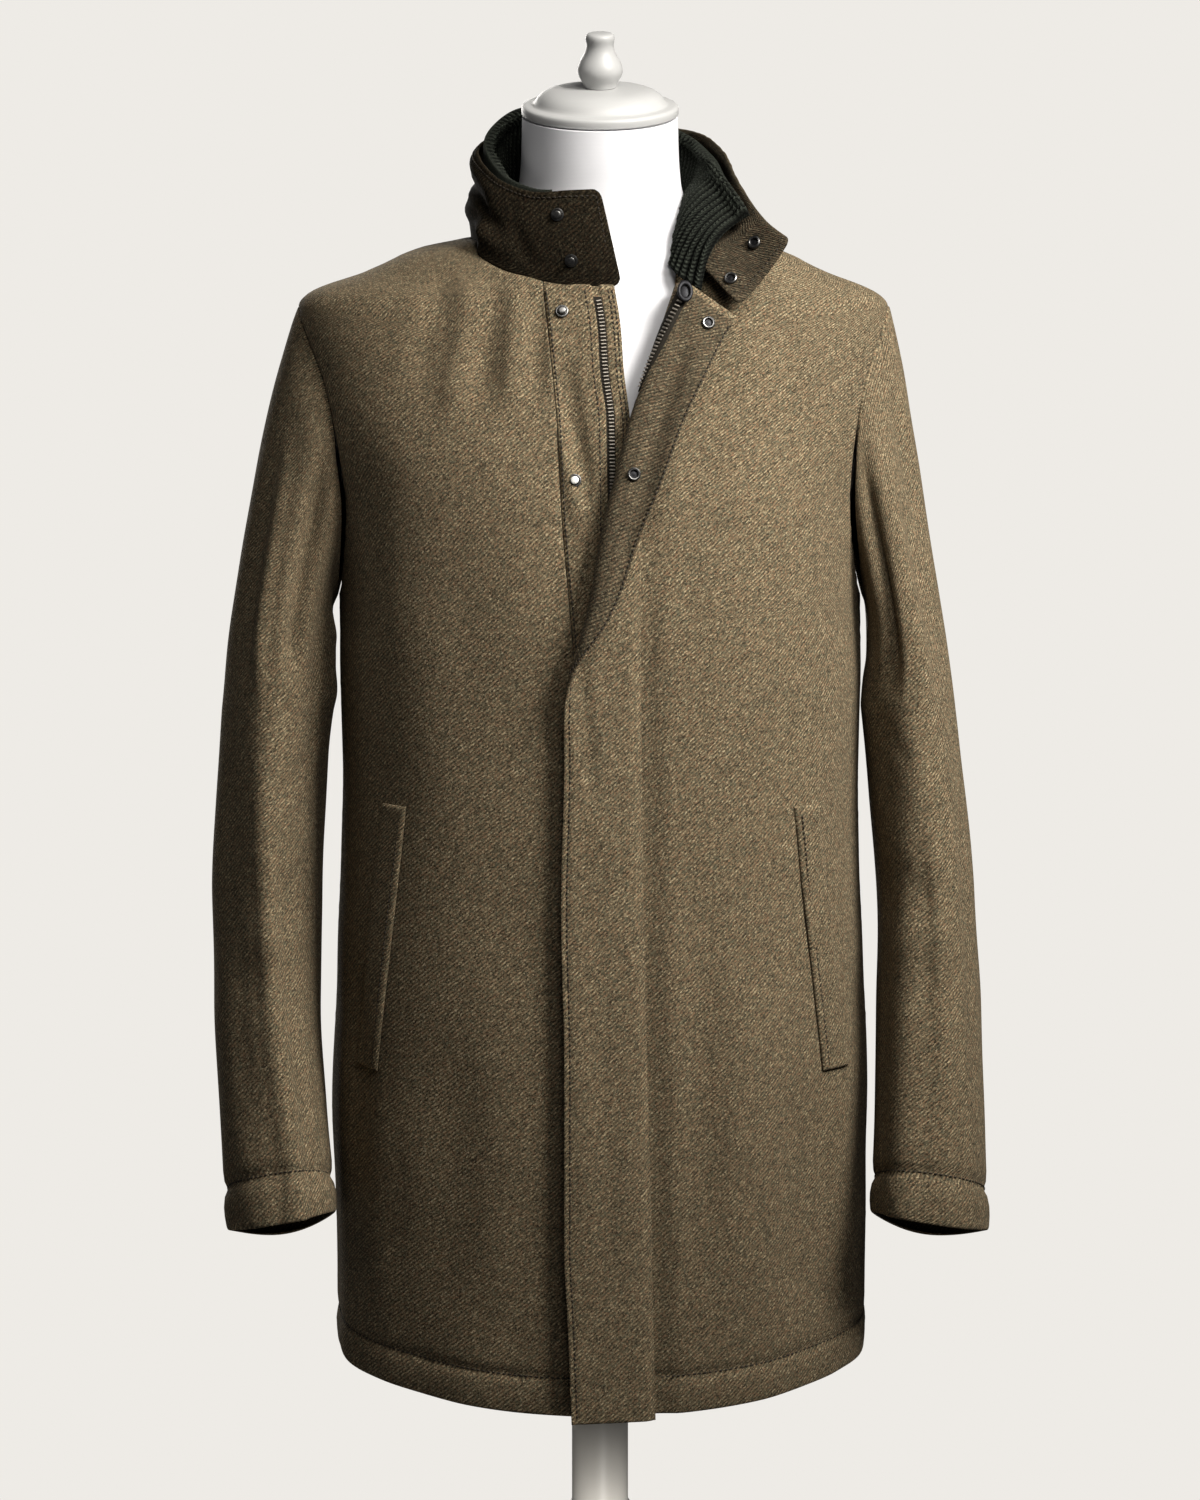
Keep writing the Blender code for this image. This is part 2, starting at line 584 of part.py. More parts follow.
class Collar:
    """The stand collar: its base runs along the neckline and its open end is turned out with the lapel."""

    def __init__(self):
        self.last = len(COLLAR["turn"])
        stations = dict(COLLAR, station=tuple(range(self.last)))
        self.turn = Curve(stations, "turn", "station", flowing_slopes)
        stations["station"] += (self.last,)
        for axis in "xyz":
            stations["top_" + axis] += (getattr(COLLAR_END_TOP, axis),)
        self.tops = [Curve(stations, "top_" + axis, "station", flowing_slopes) for axis in "xyz"]
        self.stations = self.even_stations()

    def even_stations(self):
        """Stations at even lengths along the middle of the collar, as a curve from 0 to 1."""
        count = 40 * self.last
        marks = [self.last * k / count for k in range(count + 1)]
        points = [self.surface(mark, 0.5) for mark in marks]
        lengths = [0.0]
        for before, after in zip(points, points[1:]):
            lengths.append(lengths[-1] + (after - before).length)
        shares = [length / lengths[-1] for length in lengths]
        return Curve({"share": shares, "station": marks}, "station", "share")

    def base(self, station):
        angle = math.radians(self.turn(min(station, self.last - 1)))
        seat = Vector((0, 0, COLLAR_SEAT))
        point = body_ring(angle, row_height(NECK_SIDE, angle)) + seat
        point += COLLAR_ROLL_SEAT * smooth(station - self.last + 3)
        past = max(0.0, station - self.last + 1)
        return point.lerp(COLLAR_END_BASE, past)

    def surface(self, station, rise):
        base = self.base(station)
        top = Vector([curve(station) for curve in self.tops])
        return base.lerp(top, rise)

    def normal(self, station, rise):
        step = 0.02
        low = max(station - step, 0.0)
        high = min(station + step, self.last)
        along = self.surface(high, rise) - self.surface(low, rise)
        up = self.surface(station, 1.0) - self.surface(station, 0.0)
        return up.cross(along).normalized()

    def place(self, station, rise, lift):
        bow = COLLAR_BOW * 4 * rise * (1 - rise) if 0 < rise < 1 else 0.0
        return self.surface(station, rise) + self.normal(station, rise) * (bow + lift)


def make_collars(wool, knit):
    collar = Collar()

    def shell(u, v, depth):
        return collar.place(collar.stations(u), v, -WALL * depth)

    rib_columns = RIB_COUNT * 2

    def ribs(u, v, depth):
        station = collar.stations(RIB_START + (RIB_END - RIB_START) * u)
        rise = RIB_BOTTOM + (RIB_TOP - RIB_BOTTOM) * v
        raised = RIB_RISE * (round(u * rib_columns) % 2)
        lift = -WALL - RIB_GAP - (RIB_WALL + raised) * depth
        return collar.place(station, rise, lift)

    cloth_wall("collar", wool, COLLAR_COLUMNS, COLLAR_ROWS, shell)
    cloth_wall("rib_collar", knit, rib_columns, 2, ribs)
    return collar


def make_welts(wool):
    for side, sign in (("right", -1), ("left", 1)):
        def place(u, v, depth):
            across = WELT_BOTTOM["across"] + (WELT_TOP["across"] - WELT_BOTTOM["across"]) * v
            height = WELT_BOTTOM["height"] + (WELT_TOP["height"] - WELT_BOTTOM["height"]) * v
            lift = REST_GAP + WELT_WALL * (1 - depth)
            return front_point(sign * (across + WELT_WIDTH * u), height, lift)

        cloth_wall(f"pocket_welt_{side}", wool, 2, 8, place)


def turned(name, finish, profile, steps=TURNED_STEPS):
    """A shape turned about Z from a profile of radius and height, top to bottom."""
    bm = bmesh.new()
    verts = [bm.verts.new((radius, 0, height)) for radius, height in profile]
    for above, below in zip(verts, verts[1:]):
        bm.edges.new((above, below))
    mesh = bpy.data.meshes.new(name)
    bm.to_mesh(mesh)
    bm.free()
    made = add_object(name, mesh, finish)
    screw = made.modifiers.new("Turn", "SCREW")
    screw.steps = screw.render_steps = steps
    screw.use_merge_vertices = True
    screw.merge_threshold = 0.00001
    return made


def stand_on(made, point, normal):
    """Seats a turned piece on a surface, its own +Z along the normal."""
    made.matrix_world = Matrix.Translation(point) @ normal.to_track_quat("Z", "Y").to_matrix().to_4x4()


def surface_seat(place, lift):
    """Seat and direction on a sheet: place(right, up, lift) gives a point near the seat."""
    step = 0.002
    across = place(step, 0, lift) - place(-step, 0, lift)
    up = place(0, step, lift) - place(0, -step, lift)
    return place(0, 0, lift), across.cross(up).normalized()


def snap_profile(kind):
    r, rise = SNAP_RADIUS, SNAP_RISE
    if kind == "stud":
        return ((0, STUD_NIB_RISE), (STUD_NIB_RADIUS, STUD_NIB_RISE - 0.0006), (STUD_NIB_RADIUS * 0.8, rise * 0.7),
                (r * 0.7, rise * 0.6), (r * 0.8, rise), (r, rise * 0.5), (r, 0), (0, 0))
    return ((0, rise * 0.35), (SOCKET_HOLE, rise * 0.35), (SOCKET_HOLE, rise * 1.3), (r * 0.75, rise * 1.2),
            (r, rise * 0.4), (r, 0), (0, 0))


def make_snaps(collar, metal):
    """Studs on the tab and the underlap, sockets on the open collar end and the turned-out facing."""
    def on_tab(station, rise):
        return lambda right, up, lift: collar.place(station - right * 30, rise + up * 14, lift)

    def on_underlap(across, height):
        return lambda right, up, lift: front_point(across + right, height + up, lift)

    def on_open_end(station, rise):
        return lambda right, up, lift: collar.place(station - right * 20, rise - up * 14, -WALL - lift)

    def on_facing(height, from_edge):
        def place(right, up, lift):
            along = placket_width(height + up) - from_edge + right
            return placket_point(height + up, along, -STRIP_WALL / 2 - REST_GAP - TRIM_WALL - lift)
        return place

    seats = {
        "stud_1": on_tab(1.28, 0.74),
        "stud_2": on_tab(0.96, 0.24),
        "stud_3": on_underlap(-0.0275, 1.4020),
        "stud_4": on_underlap(-0.0180, 1.2840),
        "socket_1": on_open_end(10.38, 0.68),
        "socket_2": on_open_end(10.62, 0.12),
        "socket_3": on_facing(1.4080, 0.0160),
        "socket_4": on_facing(1.2900, 0.0210),
    }
    for name, place in seats.items():
        kind = name.split("_")[0]
        made = turned(name, metal, snap_profile(kind), steps=12)
        stand_on(made, *surface_seat(place, SEAM_GAP * 1.5))


def make_slider(metal):
    """The zip's slider with its pull, run up on the left tape."""
    height = 1.4120

    def place(right, up, lift):
        along = placket_width(height + up) - ZIP_FROM_EDGE + right
        return placket_point(height + up, along, -STRIP_WALL / 2 - REST_GAP - TRIM_WALL - lift)

    half_width, half_length, rise = 0.0038, 0.0062, 0.0030
    made = turned("zip_slider", metal, ((0, 1), (0.8, 1), (1, 0.6), (1, 0), (0, 0)), steps=14)
    point, normal = surface_seat(place, SEAM_GAP * 2.5)
    stand_on(made, point, normal)
    made.matrix_world = made.matrix_world @ Matrix.Diagonal((half_width, half_length, rise, 1))


def make_form(jersey, paint, steel):
    inset = Curve(FORM_INSET, "inset")
    neck = {column: Curve(NECK, column) for column in NECK if column != "height"}
    heights = FORM_HEIGHTS + NECK["height"]
    rows = len(heights) - 1

    def ring(angle, height):
        if height < NECK["height"][0]:
            return body_ring(angle, height) - body_normal(angle, height) * inset(height)
        across = neck["half_width"](height) * math.sin(angle)
        ahead = neck["half_depth"](height) * math.cos(angle)
        drop = math.sin(CAP_TILT) * neck["tilt"](height) * ahead
        return Vector((across, -neck["forward"](height) - ahead, height - drop))

    bm = bmesh.new()
    bmesh.ops.create_grid(bm, x_segments=FORM_SIDES, y_segments=rows, size=0.5)
    for vert in bm.verts:
        height = heights[round((vert.co.y + 0.5) * rows)]
        vert.co = ring(2 * math.pi * (vert.co.x + 0.5), height)
    bmesh.ops.remove_doubles(bm, verts=bm.verts[:], dist=1e-6)
    bmesh.ops.holes_fill(bm, edges=[edge for edge in bm.edges if edge.is_boundary], sides=0)
    closed_object("form_torso", bm, jersey)

    tilt = Matrix.Translation(CAP_CENTRE) @ Matrix.Rotation(CAP_TILT, 4, "X")
    r = CAP_RADIUS
    cap = turned("form_cap", paint, ((0, 0.0205), (0.026, 0.0200), (0.040, 0.0170), (0.0475, 0.0110), (0.0490, 0.0082),
                                     (r - 0.002, 0.0078), (r, 0.0060), (r, 0.0020), (r - 0.002, 0), (0, 0)))
    cap.matrix_world = tilt
    finial = turned("form_finial", paint, ((0, 0.0400), (0.0085, 0.0390), (0.0105, 0.0360), (0.0098, 0.0310),
                                           (0.0112, 0.0240), (0.0155, 0.0170), (0.0166, 0.0120), (0.0135, 0.0050),
                                           (0.0120, 0), (0, 0)), steps=16)
    finial.matrix_world = tilt @ Matrix.Translation((0, 0, FINIAL_SEAT))
    turned("stand_pole", steel, ((0, FORM_BOTTOM - SEAM_GAP), (POLE_RADIUS, FORM_BOTTOM - SEAM_GAP),
                                 (POLE_RADIUS, BASE_THICKNESS + SEAM_GAP), (0, BASE_THICKNESS + SEAM_GAP)))
    turned("stand_base", paint, ((0, BASE_THICKNESS), (BASE_RADIUS - 0.012, BASE_THICKNESS),
                                 (BASE_RADIUS - 0.004, BASE_THICKNESS - 0.004), (BASE_RADIUS, BASE_THICKNESS - 0.010),
                                 (BASE_RADIUS, 0), (0, 0)), steps=36)


def main():
    for old in list(bpy.data.objects):
        bpy.data.objects.remove(old, do_unlink=True)
    bpy.context.scene.collection.children.link(bpy.data.collections.new("winter_coat"))
    wool = material("wool", (0.115, 0.085, 0.048), 0.92)
    facing = material("facing", (0.050, 0.040, 0.026), 0.90)
    knit = material("rib_knit", (0.030, 0.032, 0.022), 0.95)
    metal = material("gunmetal", (0.12, 0.11, 0.10), 0.38, 1.0)
    jersey = material("white_jersey", (0.80, 0.79, 0.76), 0.90)
    paint = material("white_paint", (0.82, 0.81, 0.78), 0.45)
    steel = material("pole_enamel", (0.62, 0.61, 0.60), 0.40)
    make_body(wool)
    make_placket(wool, facing, metal)
    make_sleeves(wool)
    collar = make_collars(wool, knit)
    make_welts(wool)
    make_snaps(collar, metal)
    make_slider(metal)
    make_form(jersey, paint, steel)


main()
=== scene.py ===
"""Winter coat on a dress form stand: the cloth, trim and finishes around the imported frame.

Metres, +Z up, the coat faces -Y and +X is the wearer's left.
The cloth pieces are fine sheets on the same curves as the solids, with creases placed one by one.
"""

import functools
import math

import bpy
import numpy as np
from mathutils import Matrix, Vector


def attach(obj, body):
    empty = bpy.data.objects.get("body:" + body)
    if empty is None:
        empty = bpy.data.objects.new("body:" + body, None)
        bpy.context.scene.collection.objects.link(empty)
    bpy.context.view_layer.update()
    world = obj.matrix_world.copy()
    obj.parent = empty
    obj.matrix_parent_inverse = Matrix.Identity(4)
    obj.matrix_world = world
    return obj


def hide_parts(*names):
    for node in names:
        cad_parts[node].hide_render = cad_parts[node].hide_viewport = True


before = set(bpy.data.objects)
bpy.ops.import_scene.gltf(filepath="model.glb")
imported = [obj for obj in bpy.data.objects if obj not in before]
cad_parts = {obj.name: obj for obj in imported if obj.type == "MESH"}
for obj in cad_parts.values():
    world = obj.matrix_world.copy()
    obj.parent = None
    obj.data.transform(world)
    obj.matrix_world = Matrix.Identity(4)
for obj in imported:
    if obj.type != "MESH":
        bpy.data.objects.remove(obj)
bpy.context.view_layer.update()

# Cloth walls and gaps
WALL = 0.003
STRIP_WALL = 0.0025
TRIM_WALL = 0.0011
SEAM_GAP = 0.0003
REST_GAP = 0.0008
EDGE_ROUND = 0.0034
QUARTER = math.pi / 2

# Heights above the floor, at the coat's sides
HEM = 0.6155
HEM_FRONT_DROP = 0.0215
HEM_FADE = 0.15
ARMPIT = 1.185
SHOULDER_TIP = 1.400
NECK_SIDE = 1.4508
NECK_FRONT_DROP = 0.030
NECK_BACK_DROP = 0.004
NECK_ROUNDNESS = 5
ARMHOLE_MIDDLE = (ARMPIT + SHOULDER_TIP) / 2
ARMHOLE_RISE = (SHOULDER_TIP - ARMPIT) / 2
ARMHOLE_REACH = {"front": 0.062, "back": 0.066}

# Outside of the coat's body, one row a height
BODY = {
    "height": (0.580, 0.700, 0.800, 0.900, 1.000, 1.060, 1.150, 1.190, 1.250, 1.300,
               1.350, 1.385, 1.400, 1.408, 1.424, 1.4415, 1.4508, 1.4600),
    "half_width": (0.2005, 0.2010, 0.2030, 0.1985, 0.1945, 0.1935, 0.1940, 0.1945, 0.1980, 0.2065,
                   0.2150, 0.2195, 0.2175, 0.2110, 0.1715, 0.1330, 0.0950, 0.0820),
    "front_depth": (0.150, 0.151, 0.154, 0.155, 0.153, 0.152, 0.151, 0.149, 0.142, 0.131,
                    0.114, 0.101, 0.095, 0.0915, 0.084, 0.0755, 0.0700, 0.0640),
    "back_depth": (0.150, 0.153, 0.156, 0.154, 0.148, 0.146, 0.147, 0.148, 0.147, 0.141,
                   0.128, 0.114, 0.106, 0.1010, 0.092, 0.0820, 0.0760, 0.0700),
    "shift": (0.001, 0.001, 0.000, 0.000, 0.000, 0.000, 0.000, 0.000, -0.001, -0.003,
              -0.004, -0.0045, -0.0045, -0.0045, -0.003, -0.002, -0.001, 0.000),
}
SQUARENESS = 0.05


def rows(columns, *values):
    """Rows of a table with named columns."""
    return tuple(dict(zip(columns.split(), row)) for row in values)


# Large soft folds of the body: turn in degrees, height, half spreads, and rise of the ridge or trough
BODY_FOLDS = rows(
    "turn height half_turn half_height rise",
    (-17, 1.395, 6, 0.05, 0.0020),
    (-25, 1.390, 6, 0.06, -0.0015),
    (-64, 0.600, 14, 0.30, 0.0030),
    (-40, 0.600, 12, 0.22, -0.0025),
    (46, 0.600, 12, 0.26, -0.0025),
    (70, 0.600, 13, 0.20, 0.0030),
    (112, 0.600, 15, 0.34, -0.0040),
    (138, 0.600, 15, 0.28, 0.0040),
    (166, 0.600, 14, 0.38, -0.0045),
    (194, 0.600, 15, 0.30, 0.0040),
    (222, 0.600, 14, 0.36, -0.0040),
    (248, 0.600, 13, 0.24, 0.0030),
)

# Front edges, as distances from the middle at each height
STRIP_SEAM = {
    "height": (0.580, 1.100, 1.157, 1.198, 1.257, 1.324, 1.361, 1.398, 1.430),
    "across": (-0.0180, -0.0180, -0.0190, -0.0224, -0.0274, -0.0309, -0.0345, -0.0387, -0.0437),
}
GUARD_EDGE = {
    "height": (0.580, 1.100, 1.200, 1.260, 1.324, 1.361, 1.391, 1.430),
    "across": (0.0240, 0.0225, 0.0220, 0.0225, 0.0216, 0.0172, 0.0151, 0.0085),
}
PLACKET_SEAM = {
    "height": (0.580, 0.722, 0.942, 1.085, 1.210, 1.269, 1.324, 1.380, 1.430),
    "across": (0.0411, 0.0379, 0.0325, 0.0302, 0.0293, 0.0320, 0.0445, 0.0560, 0.0680),
}
PLACKET_EDGE = {
    "height": (0.580, 0.676, 0.724, 0.863, 0.975, 1.086, 1.150, 1.210, 1.300, 1.430),
    "across": (-0.0198, -0.0234, -0.0255, -0.0253, -0.0274, -0.0250, -0.0270, -0.0290, -0.0220, 0.0020),
}
ROLL_START = {
    "height": (0.580, 1.060, 1.100, 1.150, 1.197, 1.2515, 1.288, 1.3256, 1.382, 1.430),
    "across": (-0.0400, -0.0330, -0.0240, -0.0130, 0.0002, 0.0103, 0.0196, 0.0289, 0.0474, 0.0650),
}
SEAM_LAP = 0.006
ROLL_RADIUS = 0.006
PLACKET_SEAT = 0.0008
PLACKET_LIFT = 0.0027
PLACKET_EDGE_LIFT = 0.0078
PLACKET_BOTTOM = 0.592
PLACKET_TOP = 1.419
ZIP_FROM_GUARD = 0.0140
ZIP_FROM_EDGE = 0.0400
ZIP_WIDTH = 0.0100
ZIP_RIGHT_SPAN = (0.680, 1.413)
ZIP_LEFT_SPAN = (1.345, 1.414)
FACING_SPAN = (1.148, 1.416)
FACING_MARGIN = 0.0010
FACING_ROLL_CLEAR = 0.0065

# Sleeves, one row a height: middle of the tube, half sizes and how much lower the outer side is
SLEEVE_ROWS = {
    "height": (1.100, 1.030, 0.960, 0.884, 0.807, 0.727),
    "forward": (0.002, 0.008, 0.018, 0.034, 0.055, 0.081),
    "half_depth": (0.078, 0.076, 0.072, 0.067, 0.062, 0.057),
}
SLEEVES = {
    "right": dict(
        SLEEVE_ROWS,
        across=(0.2411, 0.2458, 0.2489, 0.2490, 0.2442, 0.2370),
        half_width=(0.0404, 0.0397, 0.0401, 0.0400, 0.0401, 0.0402),
        outer_drop=(0.00, 0.00, 0.00, 0.03, 0.08, 0.18),
    ),
    "left": dict(
        SLEEVE_ROWS,
        across=(0.2302, 0.2376, 0.2440, 0.2461, 0.2462, 0.2455),
        half_width=(0.0342, 0.0360, 0.0356, 0.0386, 0.0411, 0.0440),
        outer_drop=(0.00, 0.00, 0.00, 0.03, 0.08, 0.16),
    ),
}
SLEEVE_HEADS = {"right": {"leave": 0.081, "arrive": 0.026}, "left": {"leave": 0.050, "arrive": 0.035}}
ARMPIT_LEAVE = 0.035
HEAD_FALL = {"leave": 0.08, "leave_outer": 0.10, "arrive": 0.10, "arrive_outer": 0.16,
             "spread": 0.03, "draw": 0.01}
SLEEVE_CLEAR = 0.0006

# Large soft folds of a sleeve: turn from its outer side to the front, place along it, spreads and rise
SLEEVE_FOLDS = rows(
    "turn along half_turn half_along rise",
    (48, 0.55, 22, 0.45, -0.0040),
    (-50, 0.60, 24, 0.45, -0.0040),
    (110, 1.38, 55, 0.10, -0.0035),
    (95, 1.55, 50, 0.09, -0.0030),
    (-90, 1.45, 45, 0.16, 0.0025),
)

# Collar stations from the tab end round the back to the open end: turn round the neck and the top edge
COLLAR = {
    "turn": (6, -6, -19, -50, -90, -135, -180, -225, -270, -305, -332),
    "top_x": (0.000, -0.022, -0.052, -0.080, -0.0910, -0.066, 0.000, 0.066, 0.0900, 0.1010, 0.1180),
    "top_y": (-0.087, -0.087, -0.077, -0.047, 0.000, 0.050, 0.069, 0.050, 0.000, -0.046, -0.080),
    "top_z": (1.4895, 1.4885, 1.4875, 1.499, 1.516, 1.527, 1.531, 1.527, 1.516, 1.494, 1.468),
}
COLLAR_END_BASE = (0.1020, -0.1060, 1.4080)
COLLAR_END_TOP = (0.1370, -0.0960, 1.4530)
COLLAR_SEAT = 0.0009
COLLAR_ROLL_SEAT = (0.0, -0.0040, 0.0050)
COLLAR_BOW = 0.0030

# Ribbed knit inside the collar
RIB_GAP = 0.0016
RIB_START = 0.08

# Pocket welts: top and bottom of the opening edge, on the wearer's right; the left mirrors it
WELT_TOP = {"across": 0.1400, "height": 1.0440}
WELT_BOTTOM = {"across": 0.1640, "height": 0.8440}
WELT_WIDTH = 0.0180
WELT_WALL = 0.0025
WELT_SEAT = REST_GAP * 0.6
WELT_STITCH = 0.0036
WELT_ROW_STEP = 0.004
WELT_STEP = 0.0016


def monotone_slopes(xs, ys):
    """Slopes at the rows of a table for a smooth curve that never overshoots them."""
    steps = np.diff(ys) / np.diff(xs)
    slopes = np.zeros(len(xs))
    slopes[0], slopes[-1] = steps[0], steps[-1]
    before, after = steps[:-1], steps[1:]
    same = before * after > 0
    total = np.where(same, before + after, 1.0)
    slopes[1:-1] = np.where(same, 2 * before * after / total, 0.0)
    return slopes


def flowing_slopes(xs, ys):
    """Slopes for a curve that flows through the rows, as round a neck."""
    last = len(xs) - 1
    low = np.maximum(np.arange(last + 1) - 1, 0)
    high = np.minimum(np.arange(last + 1) + 1, last)
    return (ys[high] - ys[low]) / (xs[high] - xs[low])


class Curve:
    """A smooth curve through a table's rows."""

    def __init__(self, table, column, key="height", slopes=monotone_slopes):
        order = 1 if table[key][0] < table[key][-1] else -1
        self.xs = np.array(table[key], float)[::order]
        self.ys = np.array(table[column], float)[::order]
        self.slopes = slopes(self.xs, self.ys)

    def __call__(self, x):
        xs, ys, slopes = self.xs, self.ys, self.slopes
        x = np.clip(x, xs[0], xs[-1])
        i = np.clip(np.searchsorted(xs, x, side="right") - 1, 0, len(xs) - 2)
        step = xs[i + 1] - xs[i]
        t = (x - xs[i]) / step
        start = ys[i] + step * t * (1 - t) ** 2 * slopes[i]
        end = -step * t * t * (1 - t) * slopes[i + 1]
        return start + (ys[i + 1] - ys[i]) * t * t * (3 - 2 * t) + end


def smooth(t):
    t = np.clip(t, 0.0, 1.0)
    return t * t * (3 - 2 * t)


def bump(distance, spread):
    """A soft bell, 1 at no distance and 0 from the spread on."""
    return np.maximum(0.0, 1 - (distance / spread) ** 2) ** 2


def solve(function, target, low, high):
    """Where a rising function meets the target, by halving."""
    low = np.broadcast_to(low, np.shape(target)).astype(float)
    high = np.broadcast_to(high, np.shape(target)).astype(float)
    for _ in range(40):
        middle = (low + high) / 2
        under = function(middle) < target
        low = np.where(under, middle, low)
        high = np.where(under, high, middle)
    return (low + high) / 2


def points(x, y, z):
    return np.stack(np.broadcast_arrays(x, y, z), axis=-1)


def unit(vectors):
    return vectors / np.maximum(np.linalg.norm(vectors, axis=-1, keepdims=True), 1e-12)


def lifted(place, normal, lift):
    return place + normal * np.expand_dims(lift, -1)


def nearest(*distances):
    """The least of several distances, point by point."""
    return functools.reduce(np.minimum, distances)


CREASE_FADE = 0.3


def crease_lift(creases, s, t):
    """Ridges and troughs, given one by one: each runs along a bowed line and fades at both ends."""
    total = np.zeros(np.shape(s))
    for row in creases:
        s0, t0 = row["from_s"], row["from_t"]
        ds, dt = row["to_s"] - s0, row["to_t"] - t0
        length = math.hypot(ds, dt)
        share = ((s - s0) * ds + (t - t0) * dt) / length ** 2
        inside = np.clip(share, 0, 1)
        aside = ((s - s0) * -dt + (t - t0) * ds) / length - row["bow"] * 4 * inside * (1 - inside)
        fade = smooth(share / CREASE_FADE) * smooth((1 - share) / CREASE_FADE)
        total += row["rise"] * fade * bump(aside, row["width"])
    return total


# Slow unevenness of padded cloth: waves a metre each way, start and rise
PADDING_WAVES = rows(
    "s t start rise",
    (21.0, 9.0, 0.3, 0.00030),
    (-14.0, 24.0, 1.9, 0.00028),
    (37.0, 31.0, 4.1, 0.00022),
    (52.0, -43.0, 2.6, 0.00016),
    (78.0, 61.0, 5.2, 0.00010),
    (-96.0, 88.0, 0.9, 0.00007),
)


def padding_lift(s, t):
    total = np.zeros(np.shape(s))
    for wave in PADDING_WAVES:
        total += wave["rise"] * np.sin(wave["s"] * s + wave["t"] * t + wave["start"])
    return total


PADDING_TURN = 0.3


def cloth_seat(creases, x, y, z):
    """How far the creases and the padding lift the body's cloth at a point."""
    return crease_lift(creases, x, z) + padding_lift(x + PADDING_TURN * y, z)


def stitch_groove(distance, depth, width):
    """The dip that a row of stitches pulls into padded cloth."""
    return -depth * bump(distance, width)


def pucker(along, distance, rise=0.00025, reach=0.012):
    """Small pulls across a sewn edge, uneven along it."""
    waves = np.sin(along * 610 + 1.7 * np.sin(along * 83)) + 0.7 * np.sin(along * 371 + 2.1)
    return rise * waves * bump(distance, reach)


BODY_CURVES = {column: Curve(BODY, column) for column in BODY if column != "height"}


def body_ring(angle, height):
    swell = 1 + SQUARENESS * np.sin(2 * angle) ** 2
    depth = np.where(np.cos(angle) > 0, BODY_CURVES["front_depth"](height), BODY_CURVES["back_depth"](height))
    x = BODY_CURVES["shift"](height) + BODY_CURVES["half_width"](height) * np.sin(angle) * swell
    return points(x, -depth * np.cos(angle) * swell, height)


def body_normal(angle, height):
    turn, rise = 0.002, 0.0005
    across = body_ring(angle + turn, height) - body_ring(angle - turn, height)
    up = body_ring(angle, height + rise) - body_ring(angle, height - rise)
    return unit(np.cross(across, up))


def body_fold(angle, height):
    total = np.zeros(np.broadcast(angle, height).shape)
    turn = np.degrees(angle)
    for fold in BODY_FOLDS:
        away = (turn - fold["turn"] + 180) % 360 - 180
        level = bump(height - fold["height"], fold["half_height"])
        total += fold["rise"] * bump(away, fold["half_turn"]) * level
    return total


def body_point(angle, height, lift=0.0):
    return lifted(body_ring(angle, height), body_normal(angle, height), lift + body_fold(angle, height))


def front_angle(x, height):
    """The turn at which the front of the body lies this far across."""
    x, height = np.broadcast_arrays(x, height)
    return solve(lambda angle: body_ring(angle, height)[..., 0], x, -1.2, 1.2)


def front_point(x, height, lift=0.0):
    return body_point(front_angle(x, height), height, lift)


def front_seat(creases, x, height):
    return cloth_seat(creases, x, front_point(x, height)[..., 1], height)


def row_height(side_height, angle):
    """Rows are level in the skirt, dip at the front hem and fall from shoulder to neck."""
    facing = np.cos(angle)
    hem_share = 1 - smooth((side_height - HEM) / HEM_FADE)
    hem_dip = np.where(facing > 0, HEM_FRONT_DROP * facing * np.abs(facing) * hem_share, 0.0)
    neck_drop = np.where(facing > 0, NECK_FRONT_DROP, NECK_BACK_DROP)
    rise = np.maximum(0.0, side_height - ARMPIT) / (NECK_SIDE - ARMPIT)
    return side_height - hem_dip - neck_drop * rise * np.abs(facing) ** NECK_ROUNDNESS


def armhole_angle(side_height, face):
    """Turn from the front at which a panel ends: side seam, armhole or shoulder seam."""
    share = (side_height - ARMHOLE_MIDDLE) / ARMHOLE_RISE
    reach = ARMHOLE_REACH[face] * np.sqrt(np.maximum(0.0, 1 - share * share))
    reach = np.maximum(reach, SEAM_GAP / 2)
    low, high = (0.8, QUARTER) if face == "front" else (QUARTER, math.pi - 0.8)
    target = -reach if face == "front" else reach
    return solve(lambda angle: body_ring(angle, side_height)[..., 1], target, low, high)


FRONT_EDGE_TURN = 0.15


def edge_angle(table, offset=0.0):
    """The angle of a front edge for a row, from its distance across."""
    across = Curve(table, "across")

    def angle(side_height):
        height = row_height(side_height, FRONT_EDGE_TURN)
        return front_angle(across(height) + offset, height)

    return angle


SEAM_ACROSS = Curve(PLACKET_SEAM, "across")
EDGE_ACROSS = Curve(PLACKET_EDGE, "across")
ROLL_ACROSS = Curve(ROLL_START, "across")
GUARD_ACROSS = Curve(GUARD_EDGE, "across")


LAPEL_STAND = 0.28
LAPEL_TROUGH = 0.0042
LAPEL_TROUGH_AT = 0.013
LAPEL_TROUGH_WIDTH = 0.012
LAPEL_TROUGH_RUN = 0.006
LAPEL_LEVEL_FROM = 1.365
LAPEL_LEVEL_RUN = 0.045


def placket_width(height):
    return SEAM_ACROSS(height) - EDGE_ACROSS(height)


def placket_flat(height):
    """Width of the fly strip that lies on the chest, from its seam to the start of the roll."""
    return np.minimum(placket_width(height), np.maximum(0.0, SEAM_ACROSS(height) - ROLL_ACROSS(height)))


